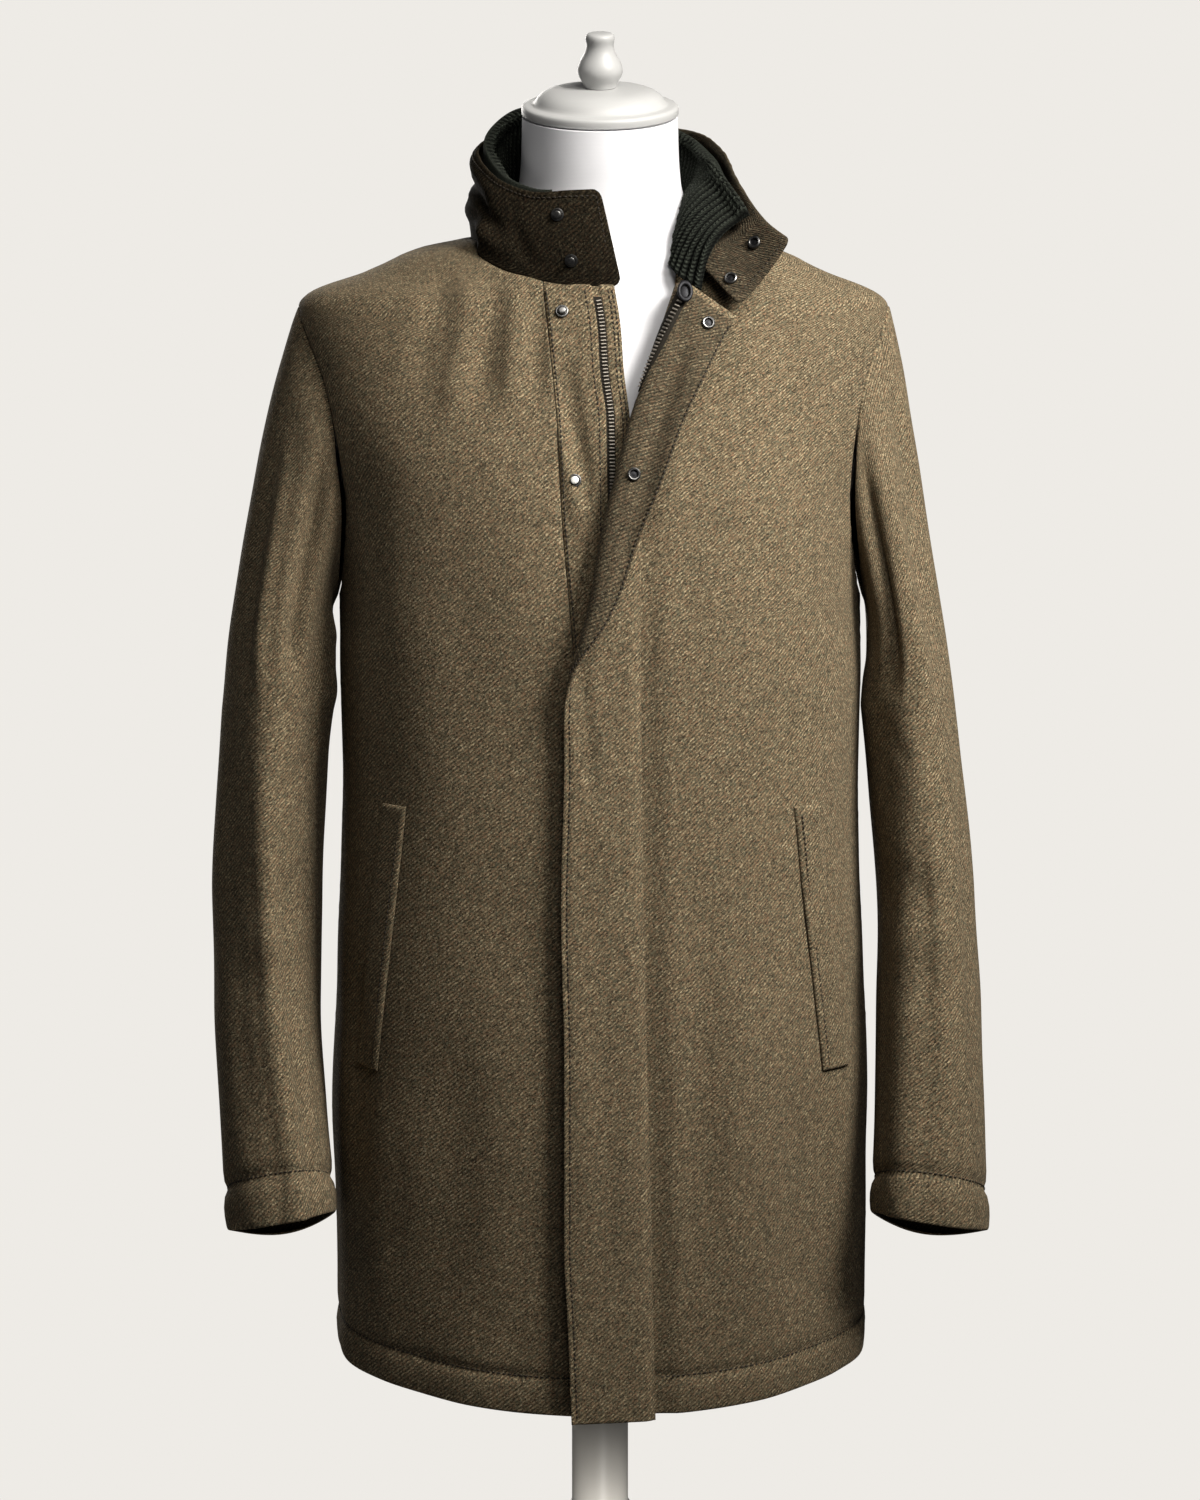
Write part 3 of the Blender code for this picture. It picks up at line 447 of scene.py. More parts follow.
def placket_along(height, share):
    """Spreads the strip's columns so that half of them lie round the roll."""
    width = placket_width(height)
    roll = np.clip(placket_flat(height), 0.15 * width, 0.60 * width)
    end = np.minimum(np.maximum(roll + math.pi * ROLL_RADIUS, roll + 0.2 * width), 0.92 * width)
    first = roll * share / 0.25
    middle = roll + (end - roll) * (share - 0.25) / 0.5
    last = end + (width - end) * (share - 0.75) / 0.25
    return np.where(share < 0.25, first, np.where(share < 0.75, middle, last))


def placket_point(height, along, above):
    """A point of the fly strip: along from its seam, round the roll, and above its middle."""
    flat = np.minimum(along, placket_flat(height))
    lift = PLACKET_SEAT + (PLACKET_LIFT - PLACKET_SEAT) * smooth(flat / SEAM_LAP) + STRIP_WALL / 2
    lift = lift + PLACKET_EDGE_LIFT * (flat / placket_width(height)) ** 1.25
    lean = (ROLL_ACROSS(height + 0.02) - ROLL_ACROSS(height - 0.02)) / 0.04
    double_turn = 2 * np.arctan(np.maximum(0.0, lean))
    turned = along - flat
    curl = np.minimum(turned / ROLL_RADIUS, math.pi)
    straight = np.maximum(0.0, turned - math.pi * ROLL_RADIUS)
    sideways = -ROLL_RADIUS * np.sin(curl) + straight + above * np.sin(curl)
    lift = lift + ROLL_RADIUS * (1 - np.cos(curl)) + above * np.cos(curl)
    trough = bump(straight - LAPEL_TROUGH_AT, LAPEL_TROUGH_WIDTH) * smooth(straight / LAPEL_TROUGH_RUN)
    stand = LAPEL_STAND * straight - LAPEL_TROUGH * trough
    lift = lift + stand * (1 - smooth((height - LAPEL_LEVEL_FROM) / LAPEL_LEVEL_RUN))
    fall = np.sin(double_turn) * (straight + ROLL_RADIUS * (1 - np.cos(curl)) / 2)
    shift = sideways * np.where(straight > 0, np.cos(double_turn), 1.0)
    return front_point(SEAM_ACROSS(height) - flat + shift, height - fall, lift)


# The back of the cuff hangs lower, from this place along the sleeve on
CUFF_FALL = 0.018
CUFF_FALL_FROM = 1.25


class Sleeve:
    """One sleeve: a head that leaves the armhole and a tube that bends forward to the cuff."""

    def __init__(self, side):
        self.side = side
        self.sign = -1 if side == "right" else 1
        self.table = SLEEVES[side]
        self.head = SLEEVE_HEADS[side]
        self.curves = {column: Curve(self.table, column) for column in self.table if column != "height"}
        self.top = self.table["height"][0]
        self.bottom = self.table["height"][-1]

    def armhole(self, turn):
        """The armhole's edge and the body's direction out there, for a turn from the shoulder tip."""
        side_height = ARMHOLE_MIDDLE + ARMHOLE_RISE * np.cos(turn)
        front = armhole_angle(side_height, "front")
        angle = self.sign * np.where(np.sin(turn) >= 0, front, armhole_angle(side_height, "back"))
        height = row_height(side_height, angle)
        return body_point(angle, height), body_normal(angle, height)

    def ring(self, turn, height):
        value = {column: curve(height) for column, curve in self.curves.items()}
        step = 0.01
        slope = (self.curves["forward"](height - step) - self.curves["forward"](height + step)) / (2 * step)
        ahead = unit(points(0.0, -1.0, slope))
        outward = points(self.sign, 0.0, -value["outer_drop"])
        middle = points(self.sign * value["across"], -value["forward"], height)
        wide = np.expand_dims(value["half_width"] * np.cos(turn), -1)
        deep = np.expand_dims(value["half_depth"] * np.sin(turn), -1)
        return middle + outward * wide + ahead * deep

    def surface(self, turn, along):
        turn, along = np.broadcast_arrays(turn, along)
        tube = self.ring(turn, self.top + (self.bottom - self.top) * (np.maximum(along, 1.0) - 1))
        behind = ((1 - np.sin(turn)) / 2) ** 3
        lower = smooth((along - CUFF_FALL_FROM) / (2 - CUFF_FALL_FROM))
        tube = tube - points(0.0, 0.0, CUFF_FALL * behind * lower)
        t = np.minimum(along, 1.0)
        outer = 0.5 + 0.5 * np.cos(turn)
        sideways = ARMPIT_LEAVE + (self.head["leave"] - ARMPIT_LEAVE) * outer
        fall = HEAD_FALL["leave"] + HEAD_FALL["leave_outer"] * outer
        leave = points(self.sign * sideways, -HEAD_FALL["spread"] * np.sin(turn), -fall)
        edge, _ = self.armhole(turn)
        edge = edge + points(self.sign * SLEEVE_CLEAR, 0.0, 0.0) + unit(leave) * SEAM_GAP
        fall = HEAD_FALL["arrive"] + HEAD_FALL["arrive_outer"] * outer
        arrive = points(self.sign * self.head["arrive"] * outer, -HEAD_FALL["draw"], -fall)
        start = np.expand_dims((1 - t) ** 2 * (1 + 2 * t), -1)
        head = edge * start + self.ring(turn, self.top) * (1 - start)
        head = lifted(lifted(head, leave, t * (1 - t) ** 2), arrive, -t * t * (1 - t))
        return np.where(np.expand_dims(along >= 1, -1), tube, head)

    def fold(self, turn, along):
        total = np.zeros(np.shape(turn))
        for fold in SLEEVE_FOLDS:
            away = (np.degrees(turn) - fold["turn"] + 180) % 360 - 180
            level = bump(along - fold["along"], fold["half_along"])
            total += fold["rise"] * bump(away, fold["half_turn"]) * level
        return total

    def normal(self, turn, along):
        step = 0.01
        round_way = self.surface(turn + step, along) - self.surface(turn - step, along)
        down = self.surface(turn, np.minimum(along + step, 2.0))
        down = down - self.surface(turn, np.maximum(along - step, 0.0))
        normal = unit(np.cross(round_way, down) * self.sign)
        shared = np.expand_dims(smooth((np.cos(turn) + 0.2) / 0.7) * (1 - smooth(along / 0.3)), -1)
        return unit(normal * (1 - shared) + self.armhole(turn)[1] * shared)


class Collar:
    """The stand collar: its base runs along the neckline and its open end is turned out with the lapel."""

    def __init__(self):
        self.last = len(COLLAR["turn"])
        stations = dict(COLLAR, station=tuple(range(self.last)))
        self.turn = Curve(stations, "turn", "station", flowing_slopes)
        stations["station"] += (self.last,)
        for axis, end in zip("xyz", COLLAR_END_TOP):
            stations["top_" + axis] += (end,)
        self.tops = [Curve(stations, "top_" + axis, "station", flowing_slopes) for axis in "xyz"]
        marks = np.linspace(0, self.last, 40 * self.last + 1)
        middle = self.surface(marks, 0.5)
        lengths = np.concatenate([[0], np.cumsum(np.linalg.norm(np.diff(middle, axis=0), axis=1))])
        self.length = lengths[-1]
        self.stations = Curve({"share": lengths / lengths[-1], "station": marks}, "station", "share")

    def base(self, station):
        angle = np.radians(self.turn(np.minimum(station, self.last - 1)))
        place = body_ring(angle, row_height(NECK_SIDE, angle)) + np.array((0, 0, COLLAR_SEAT))
        place = lifted(place, np.array(COLLAR_ROLL_SEAT), smooth(station - self.last + 3))
        past = np.expand_dims(np.maximum(0.0, station - self.last + 1), -1)
        return place * (1 - past) + np.array(COLLAR_END_BASE) * past

    def surface(self, station, rise):
        station, rise = np.broadcast_arrays(station, rise)
        share = np.expand_dims(rise, -1)
        top = points(*[curve(station) for curve in self.tops])
        return self.base(station) * (1 - share) + top * share

    def normal(self, station, rise):
        step = 0.02
        along = self.surface(np.minimum(station + step, self.last), rise)
        along = along - self.surface(np.maximum(station - step, 0.0), rise)
        up = self.surface(station, 1.0) - self.surface(station, 0.0)
        return unit(np.cross(up, along))

    def place(self, station, rise, lift):
        bow = np.where((rise > 0) & (rise < 1), COLLAR_BOW * 4 * rise * (1 - rise), 0.0)
        return lifted(self.surface(station, rise), self.normal(station, rise), bow + lift)


def edge_dip(distance, depth=WALL * 0.42, reach=EDGE_ROUND):
    """How far a folded edge rounds down at this distance from it."""
    share = np.clip(1 - distance / reach, 0.0, 1.0)
    return depth * (1 - np.sqrt(1 - share * share))


def steps(low, high, step, soft_low=True, soft_high=True):
    """Places of a grid's lines, closer together at soft folded edges."""
    close = EDGE_ROUND * np.array((0.0, 0.12, 0.30, 0.55, 0.85))
    start = low + close if soft_low else np.array([low])
    end = high - close[::-1] if soft_high else np.array([high])
    count = max(2, int(round((end[0] - start[-1]) / step)))
    return np.concatenate([start[:-1], np.linspace(start[-1], end[0], count + 1), end[1:]])


def arc_lengths(grid, axis):
    spans = np.linalg.norm(np.diff(grid, axis=axis), axis=-1)
    start = np.zeros_like(np.take(spans, [0], axis=axis))
    return np.concatenate([start, np.cumsum(spans, axis=axis)], axis=axis)


MIRRORED = np.array((-1.0, 1.0))


def add_piece(name, verts, faces, finishes):
    mesh = bpy.data.meshes.new(name)
    mesh.from_pydata(verts.tolist(), [], faces)
    for finish in finishes:
        mesh.materials.append(finish)
    piece = bpy.data.objects.new(name, mesh)
    bpy.context.scene.collection.objects.link(piece)
    return piece


def sheet_object(name, outer, inner, finishes, tube=False, down=None):
    """A closed cloth wall from its outer and inner grids, with a UV map in metres along the cloth."""
    levels, columns = outer.shape[:2]
    spans = columns if tube else columns - 1
    wide = np.concatenate([outer, outer[:, :1]], axis=1) if tube else outer
    across = arc_lengths(wide, 1)
    down = arc_lengths(wide, 0) if down is None else down[:, np.arange(wide.shape[1]) % columns]
    count = levels * columns
    i, j = [index.ravel() for index in np.meshgrid(np.arange(levels - 1), np.arange(spans), indexing="ij")]

    def vert(row, column, inside=False):
        return row * columns + column % columns + (count if inside else 0)

    far = (j >= columns // 2) * float(tube)

    def chart(row, column, shift=(0.0, 0.0), back=0.0):
        along = across[row, column] - back * across[row, -1]
        return np.stack([along + shift[0], down[row, column] + shift[1]], axis=-1)

    corners = ((i, j), (i, j + 1), (i + 1, j + 1), (i + 1, j))
    faces = [np.stack([vert(*corner) for corner in corners], axis=1)]
    charts = [np.stack([chart(*corner, back=far) for corner in corners], axis=1)]
    faces.append(np.stack([vert(*corner, True) for corner in corners[::-1]], axis=1))
    charts.append(np.stack([chart(*corner, back=far) * MIRRORED for corner in corners[::-1]], axis=1))

    def rim(first, second, shift):
        faces.append(np.stack([vert(*first), vert(*second), vert(*second, True), vert(*first, True)], axis=1))
        edge = [chart(*first), chart(*second), chart(*second, shift), chart(*first, shift)]
        charts.append(np.stack(edge, axis=1))

    j, zero = np.arange(spans), np.zeros(spans, int)
    rim((zero, j + 1), (zero, j), (0, -WALL))
    rim((zero + levels - 1, j), (zero + levels - 1, j + 1), (0, WALL))
    if not tube:
        i, zero = np.arange(levels - 1), np.zeros(levels - 1, int)
        rim((i, zero), (i + 1, zero), (-WALL, 0))
        rim((i + 1, zero + columns - 1), (i, zero + columns - 1), (WALL, 0))
    lined = len(faces[0])
    faces, charts = np.concatenate(faces), np.concatenate(charts)
    verts = np.concatenate([outer.reshape(-1, 3), inner.reshape(-1, 3)])
    a, b, c, d = [verts[faces[:, k]] for k in range(4)]
    volume = np.sum(np.cross(b - a, c - a) * (a + b + c)) + np.sum(np.cross(c - a, d - a) * (a + c + d))
    if volume < 0:
        faces, charts = faces[:, ::-1], charts[:, ::-1] * MIRRORED
    piece = add_piece(name, verts, faces.tolist(), finishes)
    mesh = piece.data
    mesh.uv_layers.new(name="cloth").data.foreach_set("uv", charts.ravel())
    index = np.zeros(len(faces), np.int32)
    index[lined:2 * lined] = 1 if len(finishes) > 1 else 0
    mesh.polygons.foreach_set("material_index", index)
    mesh.shade_smooth()
    mesh.validate()
    return piece


def point_values(piece, name, values):
    """Keeps a value for each point of a piece, which its finish reads by name."""
    piece.data.attributes.new(name, "FLOAT", "POINT").data.foreach_set("value", values)


def dress(piece, slot, *nodes):
    """Rides a finished piece on the object and hides the solids that it stands for; the slot is not used."""
    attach(piece, "root")
    if nodes:
        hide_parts(*nodes)
    return piece


def cloth_normals(grid):
    """Directions out of a grid of points, from its neighbours."""
    return unit(np.cross(np.gradient(grid, axis=1), np.gradient(grid, axis=0)))


# Creases are lines on the cloth with a half width, a rise and a sideways bow
CREASE = "from_s from_t to_s to_t width rise bow"
# The trough along the strip's seam runs over both pieces
STRIP_TROUGH = (-0.046, 1.425, -0.045, 1.330, 0.010, -0.0040, 0.000)

# Creases of the fronts and the back, given as lines of distance across and height
CREASES_FRONT_RIGHT = rows(
    CREASE,
    (-0.058, 1.428, -0.070, 1.325, 0.011, 0.0052, 0.003),
    (-0.074, 1.432, -0.092, 1.325, 0.010, -0.0034, 0.003),
    (-0.093, 1.436, -0.114, 1.320, 0.014, 0.0054, 0.004),
    STRIP_TROUGH,
    (-0.113, 1.436, -0.139, 1.345, 0.013, -0.0036, 0.003),
    (-0.075, 1.330, -0.060, 1.120, 0.045, 0.0022, 0.010),
    (-0.165, 1.330, -0.172, 1.120, 0.030, -0.0026, -0.006),
    (-0.150, 1.230, -0.120, 0.960, 0.040, 0.0016, 0.012),
    (-0.178, 0.960, -0.185, 0.660, 0.016, -0.0030, 0.003),
    (-0.160, 0.840, -0.166, 0.640, 0.020, 0.0022, -0.004),
    (-0.060, 0.940, -0.072, 0.640, 0.050, 0.0020, 0.004),
    (-0.115, 0.900, -0.110, 0.640, 0.034, -0.0022, 0.004),
)
CREASES_FRONT_LEFT = rows(
    CREASE,
    (0.098, 1.420, 0.120, 1.300, 0.016, 0.0014, -0.003),
    (0.125, 1.420, 0.158, 1.290, 0.018, -0.0012, -0.004),
    (0.085, 1.340, 0.050, 1.180, 0.030, -0.0014, -0.006),
    (0.130, 1.330, 0.110, 1.060, 0.050, 0.0020, -0.008),
    (0.172, 1.320, 0.178, 1.120, 0.026, -0.0024, 0.005),
    (0.172, 1.180, 0.150, 0.980, 0.030, 0.0014, -0.006),
    (0.068, 1.040, 0.076, 0.650, 0.022, -0.0026, 0.004),
    (0.110, 0.960, 0.104, 0.640, 0.040, 0.0024, -0.004),
    (0.150, 0.860, 0.146, 0.640, 0.026, -0.0026, 0.003),
    (0.180, 0.900, 0.182, 0.650, 0.018, 0.0022, 0.003),
)
CREASES_UNDERLAP = rows(
    CREASE,
    STRIP_TROUGH,
    (-0.027, 1.380, -0.006, 1.265, 0.012, -0.0040, -0.003),
    (-0.028, 1.330, -0.010, 1.240, 0.009, 0.0026, -0.002),
    (-0.030, 1.418, -0.012, 1.385, 0.010, 0.0012, 0.001),
)
CREASES_BACK = rows(
    CREASE,
    (-0.060, 1.430, -0.110, 1.330, 0.022, -0.0027, 0.005),
    (0.070, 1.432, 0.118, 1.320, 0.020, -0.0031, -0.004),
    (-0.020, 1.425, -0.034, 1.350, 0.014, 0.0020, 0.002),
    (0.030, 1.424, 0.041, 1.340, 0.015, 0.0019, -0.002),
    (-0.160, 1.320, -0.080, 1.140, 0.030, 0.0044, 0.012),
    (0.158, 1.310, 0.090, 1.120, 0.032, 0.0041, -0.010),
    (-0.120, 1.080, -0.030, 1.020, 0.018, -0.0031, -0.008),
    (0.128, 1.060, 0.020, 1.015, 0.020, -0.0027, 0.007),
    (-0.045, 0.980, -0.052, 0.640, 0.034, 0.0048, 0.006),
    (0.030, 0.950, 0.044, 0.640, 0.030, -0.0051, -0.005),
    (0.105, 0.930, 0.112, 0.640, 0.034, 0.0048, 0.004),
    (-0.120, 0.900, -0.130, 0.640, 0.028, -0.0048, -0.004),
)
HEM_STITCH = 0.0270
# Depth and half width of the grooves that stitching pulls in, and the puff of hem and cuff below it
HEM_GROOVE = (0.0016, 0.0060)
HEM_PUFF = 0.0008
STRIP_EDGE_GROOVE = (0.0005, 0.0028)
STRIP_HEM_GROOVE = (0.0010, 0.0055)
STRIP_SEAM_DIP = (0.0014, 0.008)
CUFF_GROOVE = (0.0026, 0.0080)
CUFF_PUFF = 0.0012
COLLAR_GROOVE = (0.0006, 0.0030)
SKIRT_STEP = 0.0055
YOKE_STEP = 0.0020
PANEL_STEP = 0.0052


def side_height_rows():
    skirt = steps(HEM, ARMPIT, SKIRT_STEP, soft_high=False)
    hem_line = HEM + HEM_STITCH + np.array((-0.0045, -0.0025, -0.0010, 0.0010, 0.0025, 0.0045))
    armhole = ARMHOLE_MIDDLE - ARMHOLE_RISE * np.cos(np.linspace(0, math.pi, 46))
    yoke = steps(SHOULDER_TIP, NECK_SIDE, YOKE_STEP, soft_low=False, soft_high=False)
    return np.unique(np.round(np.concatenate([skirt, hem_line, armhole, yoke]), 6))


SIDE_ROWS = side_height_rows()


def body_grid(start, end, width, creases, step=PANEL_STEP, extra=None):
    """Outer and inner points of a body panel between two edges, each an angle for a row."""
    first, last = start(SIDE_ROWS)[:, None], end(SIDE_ROWS)[:, None]
    share = (steps(0.0, width, step) / width)[None, :]
    angle = first + (last - first) * share
    side_height = np.broadcast_to(SIDE_ROWS[:, None], angle.shape)
    height = row_height(side_height, angle)
    plain = body_point(angle, height)
    across = arc_lengths(plain, 1)
    from_start, from_end = across, across[:, -1:] - across
    from_hem = side_height - HEM
    from_neck = arc_lengths(plain[::-1], 0)[::-1]
    x, z = plain[..., 0], plain[..., 2]
    lift = cloth_seat(creases, x, plain[..., 1], z)
    lift += stitch_groove(from_hem - HEM_STITCH, *HEM_GROOVE) + pucker(x, from_hem - HEM_STITCH)
    lift += HEM_PUFF * bump(from_hem - HEM_STITCH / 2, HEM_STITCH / 2)
    lift += pucker(z, from_start, 0.00018) + pucker(z + 0.37, from_end, 0.00022)
    if extra:
        lift += extra(x, z)
    round_off = edge_dip(nearest(from_start, from_end, from_hem, from_neck))
    inside = lift * 0.8 - WALL + round_off * 0.6
    return body_point(angle, height, lift - round_off), body_point(angle, height, inside)


def feed(tree, socket, value):
    """Sets a node's input to a value, or links it from a socket."""
    if isinstance(value, bpy.types.NodeSocket):
        tree.links.new(value, socket)
    else:
        socket.default_value = value


def add_node(tree, kind, place, inputs=None, **settings):
    """Adds a node with its settings; inputs are values, or sockets to link from."""
    made = tree.nodes.new("ShaderNode" + kind)
    made.location = place
    for name, value in settings.items():
        setattr(made, name, value)
    for name, value in (inputs or {}).items():
        feed(tree, made.inputs[name], value)
    return made


def ramp_stops(made, stops):
    ramp = made.color_ramp
    while len(ramp.elements) < len(stops):
        ramp.elements.new(0.5)
    for element, (position, colour) in zip(ramp.elements, stops):
        element.position = position
        element.color = (*colour, 1.0)


def new_group(name, inputs, outputs):
    tree = bpy.data.node_groups.new(name, "ShaderNodeTree")
    for label, kind in inputs:
        tree.interface.new_socket(name=label, in_out="INPUT", socket_type=kind)
    for label, kind in outputs:
        tree.interface.new_socket(name=label, in_out="OUTPUT", socket_type=kind)
    return tree, tree.nodes.new("NodeGroupInput"), tree.nodes.new("NodeGroupOutput")


def math_node(tree, operation, place, *values):
    made = add_node(tree, "Math", place, operation=operation)
    for socket, value in zip(made.inputs, values):
        feed(tree, socket, value)
    return made.outputs[0]


def scaled(tree, colour, scale, place):
    return add_node(tree, "VectorMath", place, {0: colour, "Scale": scale}, operation="SCALE").outputs[0]


def ranged(tree, value, low, high, place):
    return add_node(tree, "MapRange", place, {"Value": value, "To Min": low, "To Max": high}).outputs[0]


def noise(tree, vector, scale, detail, place, roughness=0.5):
    inputs = {"Vector": vector, "Scale": scale, "Detail": detail, "Roughness": roughness}
    return add_node(tree, "TexNoise", place, inputs).outputs[0]


def bands(tree, vector, scale, direction, place, **inputs):
    inputs = {label.replace("_", " "): value for label, value in inputs.items()}
    made = add_node(tree, "TexWave", place, {"Vector": vector, "Scale": scale, **inputs},
                    wave_type="BANDS", bands_direction=direction, wave_profile="SIN")
    return made.outputs["Fac"]


def flecks(tree, vector, size, place):
    """Small cells, each with a value of its own."""
    cells = add_node(tree, "TexVoronoi", place, {"Vector": vector, "Scale": 1 / size}, feature="F1")
    return add_node(tree, "SeparateColor", place, {"Color": cells.outputs["Color"]}).outputs[0]


def picked_colour(tree, value, stops, place=(-350, 0)):
    made = add_node(tree, "ValToRGB", place, {"Fac": value})
    ramp_stops(made, stops)
    return made.outputs["Color"]


def bands_per_gap(gap):
    """A wave texture's scale for bands this far apart."""
    return math.tau / 20 / gap


TWILL_GAP = 0.0024
TWILL_LEAN = math.radians(-42)
FLECK_SIZE = 0.00072
FLECK_DRAW = (0.62, 1.0, 1.0)
CLOUD_SCALE = 130.0
FIBRE_SIZE = 0.0006
MELANGE = (
    (0.00, (0.020, 0.015, 0.009)),
    (0.18, (0.048, 0.037, 0.021)),
    (0.36, (0.116, 0.088, 0.051)),
    (0.50, (0.086, 0.084, 0.054)),
    (0.62, (0.174, 0.132, 0.077)),
    (0.76, (0.160, 0.094, 0.053)),
    (0.86, (0.256, 0.203, 0.122)),
    (1.00, (0.420, 0.347, 0.222)),
)


def twill_group():
    """Brushed melange twill: flecks of yarn colour, slanted ribs and a short nap."""
    tree, entry, result = new_group(
        "wool_twill",
        (("Chart", "NodeSocketVector"),),
        (("Color", "NodeSocketColor"), ("Height", "NodeSocketFloat")),
    )
    chart = entry.outputs["Chart"]
    turn = {"Vector": chart, "Rotation": (0, 0, TWILL_LEAN)}
    leaned = add_node(tree, "Mapping", (-900, 200), turn).outputs[0]
    rib = bands(tree, leaned, bands_per_gap(TWILL_GAP), "Y", (-650, 300), Distortion=1.5, Detail=2.0,
                Detail_Scale=1.6, Detail_Roughness=0.6)
    drawn = add_node(tree, "Mapping", (-900, -100), {"Vector": leaned, "Scale": FLECK_DRAW}).outputs[0]
    cloud = noise(tree, chart, CLOUD_SCALE, 3.0, (-650, -300), 0.6)
    fibre = noise(tree, chart, 1 / FIBRE_SIZE, 2.0, (-650, -500), 0.6)
    fleck = flecks(tree, drawn, FLECK_SIZE, (-450, 0))
    spread = math_node(tree, "MULTIPLY_ADD", (-250, 0), fleck, 0.84, 0.01)
    clouded = math_node(tree, "MULTIPLY_ADD", (-250, -200), cloud, 0.15, spread)
    yarn = picked_colour(tree, clouded, MELANGE, (-60, 0))
    # The ribs scale the yarn colour down in their valleys and up on their crests: painted shade and painted
    # highlight of the twill's relief.
    toned = scaled(tree, yarn, ranged(tree, rib, 0.58, 1.22, (-250, 300)), (220, 100))
    ribbed = math_node(tree, "MULTIPLY", (-60, 400), rib, 0.55)
    height = math_node(tree, "MULTIPLY_ADD", (120, 400), fibre, 0.6, ribbed)
    tree.links.new(toned, result.inputs["Color"])
    tree.links.new(height, result.inputs["Height"])
    return tree


def new_finish(name, roughness, **sockets):
    finish = bpy.data.materials.new(name)
    finish.use_nodes = True
    tree = finish.node_tree
    shader = tree.nodes["Principled BSDF"]
    shader.inputs["Roughness"].default_value = roughness
    for label, value in sockets.items():
        shader.inputs[label.replace("_", " ")].default_value = value
    return finish, tree, shader


def cloth_chart(tree):
    return add_node(tree, "UVMap", (-900, 0), uv_map="cloth").outputs["UV"]


def object_place(tree):
    return add_node(tree, "TexCoord", (-900, 0)).outputs["Object"]


def raise_surface(tree, shader, height, strength, distance):
    inputs = {"Height": height, "Strength": strength, "Distance": distance}
    raised = add_node(tree, "Bump", (-350, -250), inputs)
    tree.links.new(raised.outputs["Normal"], shader.inputs["Normal"])


def colour_surface(tree, shader, colour):
    tree.links.new(colour, shader.inputs["Base Color"])


TWILL = twill_group()


def wool_finish(name, tone=1.0, sheen=0.06, gloss=0.18, shade=None):
    finish, tree, shader = new_finish(name, 0.92, Sheen_Weight=sheen, Sheen_Roughness=0.45,
                                      Sheen_Tint=(0.62, 0.54, 0.40, 1.0), Specular_IOR_Level=gloss)
    cloth = add_node(tree, "Group", (-700, 0), node_tree=TWILL)
    tree.links.new(cloth_chart(tree), cloth.inputs["Chart"])
    # A tone below 1 scales the yarn colour down: painted shade on the darker copies.
    toned = scaled(tree, cloth.outputs["Color"], tone, (-450, 100))
    # The shade attribute scales the colour down point by point: painted shade.
    if shade:
        deep = add_node(tree, "Attribute", (-450, 350), attribute_name=shade)
        toned = scaled(tree, toned, deep.outputs["Fac"], (-200, 150))
    colour_surface(tree, shader, toned)
    raise_surface(tree, shader, cloth.outputs["Height"], 0.55, 0.0009)
    return finish


WOOL = wool_finish("wool")
# Darker copies of the same wool: painted shade on the turned-out facing, and on the inner faces, the collar's
# open end among them.
WOOL_FACING_PAINTED_SHADE = wool_finish("facing", tone=0.54)
# The collar's copy takes painted shade from its shade attribute, deepest at the tab.
WOOL_COLLAR_PAINTED_SHADE = wool_finish("wool_collar_painted_shade", sheen=0.0, gloss=0.05, shade="shade")
WOOL_INSIDE_PAINTED_SHADE = wool_finish("wool_inside_painted_shade", tone=0.35, sheen=0.02)


ZIP_LIP = 0.0015
CHANNEL_HALF = 0.0022
CHANNEL_SLOPE = 0.0013
LIP_REACH = 0.009
LIP_FADE = 0.012
VALLEY_DEPTH = 0.0042
VALLEY_WIDTH = 0.020


def zip_lip(across, height):
    """The cloth stands up on both sides of the zip, so that only its teeth show in a channel."""
    from_zip = np.abs(across - GUARD_ACROSS(height) + ZIP_FROM_GUARD)
    risen = smooth((from_zip - CHANNEL_HALF) / CHANNEL_SLOPE)
    return ZIP_LIP * risen * (1 - smooth((from_zip - LIP_REACH) / LIP_FADE))


def seam_valley(across, height):
    """The left front sinks towards the fly strip's seam."""
    return -VALLEY_DEPTH * bump(across - SEAM_ACROSS(height), VALLEY_WIDTH)


def body_sheet(name, node, start, end, width, creases, flat, area, **finer):
    outer, inner = body_grid(start, end, width, creases, **finer)
    piece = dress(sheet_object(name, outer, inner, (WOOL, WOOL_INSIDE_PAINTED_SHADE)), "wool", node)
    return piece


def make_body():
    body_sheet("coat_front_right", "front_right", edge_angle(STRIP_SEAM, -SEAM_GAP / 2),
               lambda h: -armhole_angle(h, "front"), 0.27, CREASES_FRONT_RIGHT, (0.27, 0.90), 0.21)
    body_sheet("coat_front_left", "front_left", edge_angle(PLACKET_SEAM, -SEAM_LAP),
               lambda h: armhole_angle(h, "front"), 0.24, CREASES_FRONT_LEFT, (0.25, 0.90), 0.20,
               step=0.0040, extra=seam_valley)
    body_sheet("coat_back", "back", lambda h: armhole_angle(h, "back"),
               lambda h: 2 * math.pi - armhole_angle(h, "back"), 0.53, CREASES_BACK, (0.56, 0.92), 0.45)
    body_sheet("coat_underlap", "underlap_right", edge_angle(STRIP_SEAM, SEAM_GAP / 2),
               edge_angle(GUARD_EDGE), 0.05, CREASES_UNDERLAP, (0.055, 0.85), 0.040,
               step=0.0011, extra=zip_lip)


make_body()


EDGE_STITCH = 0.0042
# Closer columns at the fly strip's edge and seam
STRIP_EDGE_SHARES = (0.002, 0.006, 0.012, 0.02, 0.03)
STRIP_SEAM_SHARES = (0.004, 0.012, 0.025)
PLACKET_STEP = 0.0055
PLACKET_SHARE = 0.026
